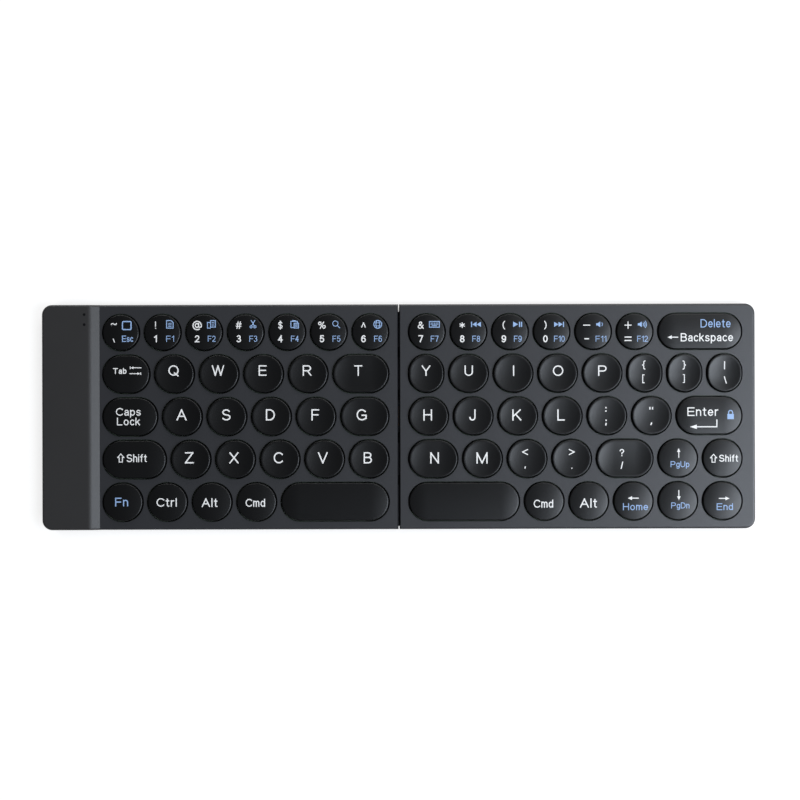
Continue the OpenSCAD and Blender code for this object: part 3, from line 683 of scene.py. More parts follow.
def arc(x: float, y: float, wide: float, high: float, start: float = 0, end: float = 360) -> list[Point]:
    """Points on an elliptical arc.

    Args:
        x: Middle along X.
        y: Middle along Y.
        wide: Half its width.
        high: Half its height.
        start: First angle in degrees.
        end: Last angle in degrees.

    Returns:
        The points, of which the last is the first on a full turn.
    """
    steps = max(4, round(abs(end - start) / ARC_STEP))
    turns = [math.radians(start + (end - start) * i / steps) for i in range(steps + 1)]
    points = [(x + wide * math.cos(t), y + high * math.sin(t)) for t in turns]
    return points[:-1] + points[:1] if abs(end - start) >= 360 else points


# Middle lines of plain upright lettering: capitals are 1 high, and each letter starts at 0.
GLYPHS: dict[str, list[list[Point]]] = {
    "A": [[(0, 0), (0.445, 1), (0.89, 0)], [(0.16, 0.36), (0.73, 0.36)]],
    "B": [[(0, 0.54), *arc(0.38, 0.27, 0.32, 0.27, 90, -90), (0, 0), (0, 1),
           *arc(0.38, 0.77, 0.27, 0.23, 90, -90), (0, 0.54)]],
    "C": [arc(0.46, 0.5, 0.46, 0.5, 42, 318)],
    "D": [[(0, 0), (0, 1), *arc(0.32, 0.5, 0.456, 0.5, 90, -90), (0, 0)]],
    "E": [[(0.72, 1), (0, 1), (0, 0), (0.72, 0)], [(0, 0.52), (0.66, 0.52)]],
    "F": [[(0.64, 1), (0, 1), (0, 0)], [(0, 0.5), (0.58, 0.5)]],
    "G": [[*arc(0.46, 0.5, 0.46, 0.5, 42, 300), (0.89, 0.16), (0.89, 0.46), (0.5, 0.46)]],
    "H": [[(0, 0), (0, 1)], [(0.74, 0), (0.74, 1)], [(0, 0.52), (0.74, 0.52)]],
    "I": [[(0, 0), (0, 1)]],
    "J": [[(0.5, 1), *arc(0.25, 0.25, 0.25, 0.25, 0, -180)]],
    "K": [[(0, 0), (0, 1)], [(0.72, 1), (0, 0.34)], [(0.26, 0.58), (0.776, 0)]],
    "L": [[(0, 1), (0, 0), (0.61, 0)]],
    "M": [[(0, 0), (0, 1), (0.495, 0), (0.99, 1), (0.99, 0)]],
    "N": [[(0, 0), (0, 1), (0.74, 0), (0.74, 1)]],
    "O": [arc(0.5, 0.5, 0.5, 0.5)],
    "P": [[(0, 0), (0, 1), *arc(0.46, 0.73, 0.32, 0.27, 90, -90), (0, 0.46)]],
    "Q": [arc(0.49, 0.5, 0.49, 0.5), [(0.58, 0.24), (0.98, -0.08)]],
    "R": [[(0, 0), (0, 1), *arc(0.47, 0.74, 0.30, 0.26, 90, -90), (0, 0.48)], [(0.42, 0.48), (0.81, 0)]],
    "S": [[*arc(0.37, 0.75, 0.33, 0.25, 25, 270), *arc(0.38, 0.25, 0.37, 0.25, 90, -155)]],
    "T": [[(0, 1), (0.74, 1)], [(0.37, 1), (0.37, 0)]],
    "U": [[(0, 1), *arc(0.385, 0.36, 0.385, 0.36, 180, 360), (0.77, 1)]],
    "V": [[(0, 1), (0.425, 0), (0.85, 1)]],
    "W": [[(0, 1), (0.3, 0), (0.595, 1), (0.89, 0), (1.19, 1)]],
    "X": [[(0, 1), (0.8, 0)], [(0, 0), (0.8, 1)]],
    "Y": [[(0, 1), (0.4, 0.44), (0.8, 1)], [(0.4, 0.44), (0.4, 0)]],
    "Z": [[(0.02, 1), (0.74, 1), (0, 0), (0.76, 0)]],
    "a": [[*arc(0.25, 0.5, 0.21, 0.22, 155, 0), (0.46, 0)],
          [(0.46, 0.4), *arc(0.2, 0.2, 0.2, 0.2, 90, 270), (0.46, 0.12)]],
    "b": [[(0, 0), (0, 1)], arc(0.26, 0.36, 0.26, 0.36)],
    "c": [arc(0.26, 0.36, 0.26, 0.36, 45, 315)],
    "d": [[(0.52, 0), (0.52, 1)], arc(0.26, 0.36, 0.26, 0.36)],
    "e": [[(0.03, 0.37), *arc(0.27, 0.36, 0.26, 0.36, 0, 320)]],
    "f": [[*arc(0.28, 0.8, 0.14, 0.2, 80, 180), (0.14, 0)], [(0, 0.7), (0.28, 0.7)]],
    "g": [[(0.52, 0.72), *arc(0.27, -0.08, 0.25, 0.2, 0, -150)], arc(0.26, 0.36, 0.26, 0.36)],
    "h": [[(0, 0), (0, 1)], [*arc(0.24, 0.46, 0.24, 0.26, 180, 0), (0.48, 0)]],
    "i": [[(0, 0), (0, 0.72)], [(0, 0.98), (0, 1)]],
    "k": [[(0, 0), (0, 1)], [(0.44, 0.72), (0, 0.28)], [(0.18, 0.44), (0.48, 0)]],
    "l": [[(0, 0), (0, 1)]],
    "m": [[(0, 0), (0, 0.72)], [*arc(0.19, 0.5, 0.19, 0.22, 180, 0), (0.38, 0)],
          [*arc(0.57, 0.5, 0.19, 0.22, 180, 0), (0.76, 0)]],
    "n": [[(0, 0), (0, 0.72)], [*arc(0.24, 0.46, 0.24, 0.26, 180, 0), (0.48, 0)]],
    "o": [arc(0.27, 0.36, 0.27, 0.36)],
    "p": [[(0, -0.28), (0, 0.72)], arc(0.26, 0.36, 0.26, 0.36)],
    "r": [[(0, 0), (0, 0.72)], [*arc(0.24, 0.44, 0.24, 0.28, 180, 80)]],
    "s": [[*arc(0.23, 0.54, 0.21, 0.18, 25, 270), *arc(0.23, 0.18, 0.23, 0.18, 90, -155)]],
    "t": [[(0.14, 0.94), *arc(0.28, 0.14, 0.14, 0.14, 180, 280)], [(0, 0.7), (0.3, 0.7)]],
    "0": [arc(0.29, 0.5, 0.29, 0.5)],
    "1": [[(0, 0.76), (0.27, 1), (0.27, 0)]],
    "2": [[*arc(0.3, 0.7, 0.28, 0.3, 165, -35), (0, 0), (0.6, 0)]],
    "3": [[*arc(0.28, 0.76, 0.25, 0.24, 150, -90), *arc(0.28, 0.26, 0.29, 0.26, 90, -150)]],
    "4": [[(0.44, 0), (0.44, 1), (0, 0.3), (0.6, 0.3)]],
    "5": [[(0.52, 1), (0.1, 1), (0.04, 0.5), *arc(0.28, 0.32, 0.29, 0.32, 130, -150)]],
    "6": [[*arc(0.33, 0.5, 0.33, 0.5, 50, 180), (0, 0.31)], arc(0.29, 0.31, 0.29, 0.31)],
    "7": [[(0, 1), (0.58, 1), (0.2, 0)]],
    "8": [arc(0.29, 0.76, 0.24, 0.24), arc(0.29, 0.27, 0.29, 0.27)],
    "9": [[(0.58, 0.69), *arc(0.25, 0.5, 0.33, 0.5, 0, -130)], arc(0.29, 0.69, 0.29, 0.31)],
    "~": [[*arc(0.25, 0.42, 0.25, 0.16, 180, 60), *arc(0.75, 0.58, 0.25, 0.16, 240, 360)]],
    "`": [[(0, 0.74), (0.19, 0.26)]],
    "!": [[(0, 1), (0, 0.34)], [(0, 0), (0, 0.02)]],
    "@": [arc(0.55, 0.45, 0.55, 0.55, 0, 300), arc(0.52, 0.45, 0.22, 0.25),
          [(0.75, 0.7), *arc(0.925, 0.34, 0.175, 0.13, 180, 350)]],
    "#": [[(0.1, 0), (0.28, 1)], [(0.45, 0), (0.63, 1)],
          [(0, 0.33), (0.7, 0.33)], [(0.04, 0.68), (0.74, 0.68)]],
    "$": [[*arc(0.28, 0.74, 0.26, 0.24, 25, 270), *arc(0.28, 0.26, 0.28, 0.24, 90, -155)],
          [(0.28, 1.12), (0.28, -0.12)]],
    "%": [arc(0.2, 0.77, 0.2, 0.23), arc(0.85, 0.23, 0.2, 0.23), [(0.25, 0), (0.8, 1)]],
    "^": [[(0, 0.2), (0.28, 0.85), (0.56, 0.2)]],
    "&": [[(0.8, 0), (0.2, 0.68), *arc(0.37, 0.81, 0.19, 0.19, 200, -40), (0.12, 0.42)],
          [*arc(0.28, 0.25, 0.28, 0.25, 125, 325), (0.78, 0.5)]],
    "*": [[(0.33, 0.14), (0.33, 0.86)], [(0, 0.33), (0.66, 0.67)], [(0, 0.67), (0.66, 0.33)]],
    "(": [arc(0.6, 0.5, 0.6, 0.75, 126, 234)],
    ")": [arc(-0.353, 0.5, 0.6, 0.75, 54, -54)],
    "-": [[(0, 0.5), (1, 0.5)]],
    "+": [[(0, 0.5), (1, 0.5)], [(0.5, 0), (0.5, 1)]],
    "=": [[(0, 0.22), (1, 0.22)], [(0, 0.78), (1, 0.78)]],
    "{": [[(0.32, 1), *arc(0.3, 0.85, 0.14, 0.15, 90, 180), (0.16, 0.62), (0, 0.5), (0.16, 0.38),
           *arc(0.3, 0.15, 0.14, 0.15, 180, 270), (0.32, 0)]],
    "}": [[(0, 1), *arc(0.02, 0.85, 0.14, 0.15, 90, 0), (0.16, 0.62), (0.32, 0.5), (0.16, 0.38),
           *arc(0.02, 0.15, 0.14, 0.15, 0, -90), (0, 0)]],
    "[": [[(0.22, 1), (0, 1), (0, 0), (0.22, 0)]],
    "]": [[(0, 1), (0.22, 1), (0.22, 0), (0, 0)]],
    "|": [[(0, 0), (0, 1)]],
    "\\": [[(0, 1), (0.3, 0)]],
    "/": [[(0, 0), (0.24, 1)]],
    ":": [[(0, 0.2), (0, 0.22)], [(0, 0.78), (0, 0.8)]],
    ";": [[(0.05, 0.24), (0.05, 0.22), (0, 0.02)], [(0.05, 0.78), (0.05, 0.8)]],
    "\"": [[(0, 0.37), (0, 0.63)], [(0.50, 0.37), (0.50, 0.63)]],
    "'": [[(0.10, 0.64), (0.08, 0.48), (0, 0.36)]],
    "<": [[(0.8, 0.9), (0, 0.5), (0.8, 0.1)]],
    ">": [[(0, 0.9), (0.8, 0.5), (0, 0.1)]],
    ",": [[(0.05, 0.56), (0, 0.36)]],
    ".": [[(0, 0.49), (0, 0.51)]],
    "?": [[*arc(0.28, 0.74, 0.28, 0.26, 170, -60), (0.28, 0.42), (0.28, 0.3)], [(0.28, 0), (0.28, 0.02)]],
}


@dataclass(frozen=True)
class Line:
    """An inked line of even width, which closes where its last point is its first.

    Attributes:
        points: Points on its middle.
        width: Its width.
        shortest: Shortest step between two points that counts.
        dot: Length that makes a dot of a lone point.
        bend: Cosine of the bend past which a corner is sharp.
        mitre: Least cosine that a corner is widened for.
    """

    points: list[Point]
    width: float
    shortest = 0.02
    dot = 0.01
    bend = 0.64
    mitre = 0.6

    def runs(self) -> list[tuple[list[Vector], bool]]:
        """Splits the line at its sharp corners and runs each end on by half its width.

        Returns:
            Points of each run, and whether it is a closed ring.
        """
        path = [Vector(self.points[0])]
        for point in map(Vector, self.points[1:]):
            if (point - path[-1]).length > self.shortest:
                path.append(point)
        if len(path) < 2:
            path.append(path[0] + Vector((0, self.dot)))
        ways = [(b - a).normalized() for a, b in zip(path, path[1:])]
        sharp = [i for i in range(1, len(ways)) if ways[i - 1].dot(ways[i]) < self.bend]
        closed = len(path) > 3 and (path[0] - path[-1]).length < self.shortest
        if closed and not sharp and ways[-1].dot(ways[0]) > self.bend:
            return [(path[:-1], True)]
        cuts, found = [0, *sharp, len(path) - 1], []
        for first, last in zip(cuts, cuts[1:]):
            run = [point.copy() for point in path[first:last + 1]]
            run[0] -= ways[first] * self.width / 2
            run[-1] += ways[last - 1] * self.width / 2
            found.append((run, False))
        return found

    def faces(self, longest: float) -> list[tuple[list[Point], list[list[int]]]]:
        """Draws out each run as a flat strip.

        Args:
            longest: Longest step along the strip.

        Returns:
            Points and faces of each strip.
        """
        strips = []
        for run, ring in self.runs():
            path: list[Vector] = []
            for start, end in zip(run, run[1:] + run[:1] if ring else run[1:]):
                steps = max(1, math.ceil((end - start).length / longest))
                path += [start.lerp(end, i / steps) for i in range(steps)]
            if not ring:
                path.append(run[-1])
            count, points = len(path), []
            for i, point in enumerate(path):
                into = point - path[i - 1] if ring or i else path[1] - path[0]
                away = path[(i + 1) % count] - point if ring or i < count - 1 else into
                into, away = into.normalized(), away.normalized()
                side = Vector((-into.y - away.y, into.x + away.x)).normalized()
                reach = self.width / 2 / max(self.mitre, side.dot(Vector((-into.y, into.x))))
                points += [tuple(point - side * reach), tuple(point + side * reach)]
            ends = [(i, (i + 1) % count) for i in range(count if ring else count - 1)]
            strips.append((points, [[2 * a, 2 * b, 2 * b + 1, 2 * a + 1] for a, b in ends]))
        return strips

    def placed(self, place: Callable[[Point], Point], size: float) -> "Line":
        """Returns the line moved, at another size."""
        return Line([place(point) for point in self.points], self.width * size)


@dataclass(frozen=True)
class Patch:
    """A filled outline.

    Attributes:
        points: Its corners.
        rounds: How often its edges are halved.
    """

    points: list[Point]
    rounds = 3

    def faces(self, longest: float) -> list[tuple[list[Point], list[list[int]]]]:
        """Cuts the patch into small triangles.

        Args:
            longest: Longest edge, roughly.

        Returns:
            Its points and faces.
        """
        flat = bmesh.new()
        face = flat.faces.new([flat.verts.new((*point, 0)) for point in self.points])
        face.normal_update()
        if face.normal.z < 0:
            face.normal_flip()
        bmesh.ops.triangulate(flat, faces=flat.faces)
        for _ in range(self.rounds):
            long = [edge for edge in flat.edges if edge.calc_length() > longest]
            bmesh.ops.subdivide_edges(flat, edges=long, cuts=1)
            bmesh.ops.triangulate(flat, faces=flat.faces)
        flat.verts.index_update()
        cut = [tuple(v.co.xy) for v in flat.verts], [[v.index for v in f.verts] for f in flat.faces]
        flat.free()
        return [cut]

    def placed(self, place: Callable[[Point], Point], size: float) -> "Patch":
        """Returns the patch moved, at another size."""
        return Patch([place(point) for point in self.points])


Artwork = list[Line | Patch]


def arrow(tail: Point, tip: Point, width: float, head: float) -> Artwork:
    """A straight arrow with a filled head.

    Args:
        tail: Where it starts.
        tip: Where it points.
        width: Width of its shaft.
        head: Length of its head.

    Returns:
        Shaft and head.
    """
    end = Vector(tip)
    along = (end - Vector(tail)).normalized()
    side = Vector((-along.y, along.x)) * head * HEAD_WIDTH / 2
    neck = end - along * head
    return [Line([tail, tuple(neck)], width), Patch([tuple(end), tuple(neck + side), tuple(neck - side)])]


def rectangle(left: float, low: float, right: float, high: float) -> list[Point]:
    """Corners of a closed upright rectangle."""
    return [(left, low), (right, low), (right, high), (left, high), (left, low)]


class Icon(Enum):
    """Small drawn symbols, each about 4 mm wide."""

    SQUARE = "square"
    PAGE = "page"
    SHEETS = "sheets"
    SCISSORS = "scissors"
    BOARD = "board"
    LENS = "lens"
    GLOBE = "globe"
    KEYS = "keys"
    BACK = "back"
    PLAY = "play"
    NEXT = "next"
    SOFT = "soft"
    LOUD = "loud"
    TAB = "tab"
    SHIFT = "shift"
    RETURN = "return"
    LOCK = "lock"
    ARROW = "arrow"

    def draw(self) -> Artwork:
        """Draws the symbol round its middle, in millimetres.

        Returns:
            Its lines and patches.
        """
        pen = 0.34
        if self is Icon.SQUARE:
            turns = [
                arc(x, y, 0.4, 0.4, 90 * i, 90 * i + 90)
                for i, (x, y) in enumerate([(1.3, 1.2), (-1.3, 1.2), (-1.3, -1.2), (1.3, -1.2)])
            ]
            return [Line([p for turn in turns for p in turn] + turns[0][:1], 0.45)]
        if self is Icon.PAGE:
            sheet = [(-1.3, -1.5), (1.3, -1.5), (1.3, 0.7), (0.5, 1.5), (-1.3, 1.5), (-1.3, -1.5)]
            return [Line(sheet, pen), *[Line([(-0.6, y), (0.6, y)], 0.26) for y in (-0.8, -0.2, 0.4)]]
        if self is Icon.SHEETS:
            back = [(-0.5, 0.8), (-1.7, 0.8), (-1.7, -1.6), (-0.5, -1.6)]
            lines = [Line([(0.2, y), (1.1, y)], 0.26) for y in (-0.6, 0.1, 0.8)]
            return [Line(back, pen), Line(rectangle(-0.4, -1.2, 1.7, 1.6), pen), *lines]
        if self is Icon.SCISSORS:
            blades = [Line([(-0.8, 1.7), (0.6, -0.7)], pen), Line([(0.8, 1.7), (-0.6, -0.7)], pen)]
            return blades + [Line(arc(x, -1.1, 0.5, 0.5), pen) for x in (-0.85, 0.85)]
        if self is Icon.BOARD:
            board = [(-0.4, -1.4), (-1.6, -1.4), (-1.6, 1.3), (1.2, 1.3), (1.2, 0.8)]
            lines = [Line([(0.3, y), (1.2, y)], 0.24) for y in (-1.0, -0.5, 0.0)]
            clip = Line([(-0.7, 1.55), (0.3, 1.55)], 0.45)
            return [Line(board, pen), clip, Line(rectangle(-0.2, -1.6, 1.7, 0.5), pen), *lines]
        if self is Icon.LENS:
            return [Line(arc(-0.35, 0.35, 1.15, 1.15), 0.28), Line([(0.5, -0.5), (1.5, -1.5)], 0.32)]
        if self is Icon.GLOBE:
            rings = [Line(arc(0, 0, 1.6 * s, 1.6), 0.27) for s in (1, 0.45)]
            return rings + [Line([(-x, y), (x, y)], 0.22) for x, y in ((1.4, 0.6), (1.4, -0.6))]
        if self is Icon.KEYS:
            places = [(x, y) for x in (-1.3, -0.65, 0, 0.65, 1.3) for y in (0.5, -0.05)]
            dots = [Line([(x, y), (x + 0.05, y)], pen) for x, y in places]
            bar = Line([(-0.9, -0.6), (0.9, -0.6)], 0.3)
            return [Line(rectangle(-2.0, -1.15, 2.0, 1.15), 0.3), *dots, bar]
        if self in (Icon.BACK, Icon.NEXT):
            way = 1 if self is Icon.NEXT else -1
            heads: Artwork = [
                Patch([(way * x, 1.0), (way * x, -1.0), (way * (x + 1.7), 0)]) for x in (-2.0, -0.25)
            ]
            return heads + [Line([(way * 1.75, 0.85), (way * 1.75, -0.85)], 0.4)]
        if self is Icon.PLAY:
            bars = [Line([(x, 0.8), (x, -0.8)], 0.45) for x in (0.8, 1.6)]
            return [Patch([(-1.8, 1.1), (-1.8, -1.1), (0.2, 0)]), *bars]
        if self in (Icon.SOFT, Icon.LOUD):
            horn = [(-1.8, 0.45), (-1.8, -0.45), (-1.2, -0.45), (-0.2, -1.15), (-0.2, 1.15), (-1.2, 0.45)]
            waves = (0.7, 1.3, 1.9) if self is Icon.LOUD else (0.9,)
            return [Patch(horn), *[Line(arc(-0.2, 0, r, r, -42, 42), 0.28) for r in waves]]
        if self is Icon.TAB:
            stops = [Line([(-2.1, 1.55), (-2.1, 0.8)], 0.3), Line([(2.1, -0.8), (2.1, -1.55)], 0.3)]
            ways = [((2.2, 1.17), (-1.9, 1.17)), ((-2.2, -1.17), (1.9, -1.17))]
            arrows = [arrow(tail, tip, 0.32, 1.1) for tail, tip in ways]
            return [*arrows[0], stops[0], *arrows[1], stops[1]]
        if self is Icon.SHIFT:
            half = [(0, 1.9), (1.4, 0.3), (0.7, 0.3), (0.7, -1.7)]
            return [Line([*half, *[(-x, y) for x, y in half[:0:-1]], half[0]], 0.38)]
        if self is Icon.RETURN:
            shaft = Line([(5.2, 1.8), (5.2, -0.9), (-3.0, -0.9)], 0.45)
            return [shaft, Patch([(-5.6, -0.9), (-2.8, 0.0), (-2.8, -1.8)])]
        if self is Icon.LOCK:
            shackle = Line([(-0.8, 0.2), *arc(0, 0.9, 0.8, 0.8, 180, 0), (0.8, 0.2)], 0.4)
            return [Patch(rectangle(-1.3, -1.8, 1.3, 0.3)[:-1]), shackle]
        return arrow((-2.0, 0), (2.2, 0), 0.4, 1.7)


@dataclass(frozen=True)
class Mark:
    """One printed mark on a cap, in millimetres from the cap's middle.

    Attributes:
        what: Letters or symbol.
        x: Middle along X.
        y: Middle of a capital, or of the symbol, along Y.
        height: Height of a capital, or the size factor of a symbol.
        ink: Ink.
        width: Width of the words, or None to leave the letters as wide as they are drawn.
        turn: Angle of a symbol in degrees.
        weight: Width of the lettering's lines as a share of its height.
        gap: Space between two letters, as a share of their height.
    """

    what: str | Icon
    x: float
    y: float
    height: float
    ink: Ink = Ink.WHITE
    width: float | None = None
    turn: float = 0.0
    weight: float = 0.13
    gap = 0.16

    def artwork(self) -> Artwork:
        """Draws the mark in its place.

        Returns:
            Its lines and patches.
        """
        if isinstance(self.what, Icon):
            turn = Matrix.Rotation(math.radians(self.turn), 2)
            middle = Vector((self.x, self.y))
            return [
                item.placed(lambda p: tuple(turn @ Vector(p) * self.height + middle), self.height)
                for item in self.what.draw()
            ]
        pen = self.weight * self.height
        tall = self.height - pen
        space = self.gap + pen / tall
        lines, end = [], 0.0
        for letter in self.what:
            paths = GLYPHS[letter]
            lines += [[(x + end, y) for x, y in path] for path in paths]
            end += max(x for path in paths for x, _ in path) + space
        full = end - space
        wide = (self.width - pen) / full if self.width and full else tall
        left, foot = self.x - full / 2 * wide, self.y - tall / 2
        return [Line([(left + x * wide, foot + y * tall) for x, y in line], pen) for line in lines]


class Printer:
    """Turns marks into thin solid ink that follows the top of a cap.

    Attributes:
        thickness: Height of the ink over the cap, in millimetres.
        sunk: Depth of the ink in the cap.
        layer: Step between strips that cross, so that their tops never meet.
        layers: Count of such steps.
        longest: Longest edge of the ink.
        slant: Drop of the lettering's line for each millimetre to the right.
    """

    thickness = 0.018
    sunk = 0.012
    layer = 0.0006
    layers = 8
    longest = 1.1
    slant = 0.00257

    def _raise(
        self, whole: BMesh, points: list[Point], faces: list[list[int]], lift: float, ink: Ink,
        cap: Block, form: CapForm,
    ) -> None:
        """Gives a flat drawing its thickness on the top of a cap.

        Args:
            whole: Mesh that it joins.
            points: Its points round the cap's middle, in millimetres.
            faces: Its faces, each anticlockwise.
            lift: Height of the ink over the cap, in millimetres.
            ink: Its ink.
            cap: Box of the cap.
            form: Form of the cap.
        """
        places = [(x * MM, y * MM, form.height_at(x * MM, y * MM, cap)) for x, y in points]
        upper, lower = [
            [whole.verts.new((cap.centre.x + x, cap.centre.y + y, z + level * MM)) for x, y, z in places]
            for level in (lift, -self.sunk)
        ]
        edges = {(a, b) for face in faces for a, b in zip(face, face[1:] + face[:1])}
        rims = [(a, b) for a, b in edges if (b, a) not in edges]
        made = [whole.faces.new([upper[i] for i in face]) for face in faces]
        made += [whole.faces.new([lower[i] for i in reversed(face)]) for face in faces]
        made += [whole.faces.new((upper[b], upper[a], lower[a], lower[b])) for a, b in rims]
        for face in made:
            face.material_index = ink.value

    def print(
        self, name: str, caps: Sequence[Block], legends: Sequence[Sequence[Mark]], form: CapForm,
        inks: Sequence[Material],
    ) -> Object:
        """Prints the legends of one body as one piece.

        Args:
            name: Name of the piece.
            caps: Box of each cap.
            legends: Marks of each cap.
            form: Form of the caps.
            inks: Material of each ink.

        Returns:
            The piece.
        """
        whole = bmesh.new()
        for cap, marks in zip(caps, legends):
            drop = self.slant * cap.centre.x / MM
            for mark in marks:
                strips = [strip for item in mark.artwork() for strip in item.faces(self.longest)]
                for layer, (points, faces) in enumerate(strips):
                    lift = self.thickness - self.layer * (layer % self.layers)
                    self._raise(whole, [(x, y - drop) for x, y in points], faces, lift, mark.ink, cap, form)
        return piece_of(name, whole, inks)


def letters(row: str, places: Sequence[float], y: float, height: float = 4.5) -> list[list[Mark]]:
    """Legends of plain letter keys.

    Args:
        row: The letters from left to right.
        places: Place of each along X.
        y: Place of the row along Y.
        height: Height of a letter.

    Returns:
        One legend for each letter.
    """
    return [[Mark(letter, x, y, height, weight=0.115)] for letter, x in zip(row, places)]


def pair(
    upper: str, lower: str, x: float, high: float = 2.8, low: float = -2.5, size: float = 2.9,
    weight: float = 0.14,
) -> list[Mark]:
    """Legend of a punctuation key, one mark over the other.

    Args:
        upper: Upper mark.
        lower: Lower mark.
        x: Place of both along X.
        high: Place of the upper mark along Y.
        low: Place of the lower mark along Y.
        size: Height of a capital.
        weight: Width of the lines as a share of the height.

    Returns:
        The legend.
    """
    return [Mark(upper, x, high, size, weight=weight), Mark(lower, x, low, size, weight=weight)]


def digit(
    sign: str, number: str, icon: Icon, label: str, x: float = -2.7, size: float = 1.0, tall: float = 2.9,
) -> list[Mark]:
    """Legend of a number key: sign over number in white, symbol over function label in blue.

    Args:
        sign: Shifted sign.
        number: Digit or sign.
        icon: Symbol of the media function.
        label: Function label.
        x: Place of the sign and the number along X.
        size: Size factor of the symbol.
        tall: Height of the sign.

    Returns:
        The legend.
    """
    stretched = {"=": 2.8, "-": 1.9}
    return [
        Mark(sign, x, 2.7, tall, width=2.8 if sign in "+-" else None),
        Mark(number, x, -2.75, 2.85, width=stretched.get(number), weight=0.16),
        Mark(icon, 3.0, 3.0, size, Ink.BLUE),
        Mark(label, 3.1, -2.75, 2.4, Ink.BLUE, 3.1 if len(label) < 3 else 4.3, weight=0.105),
    ]


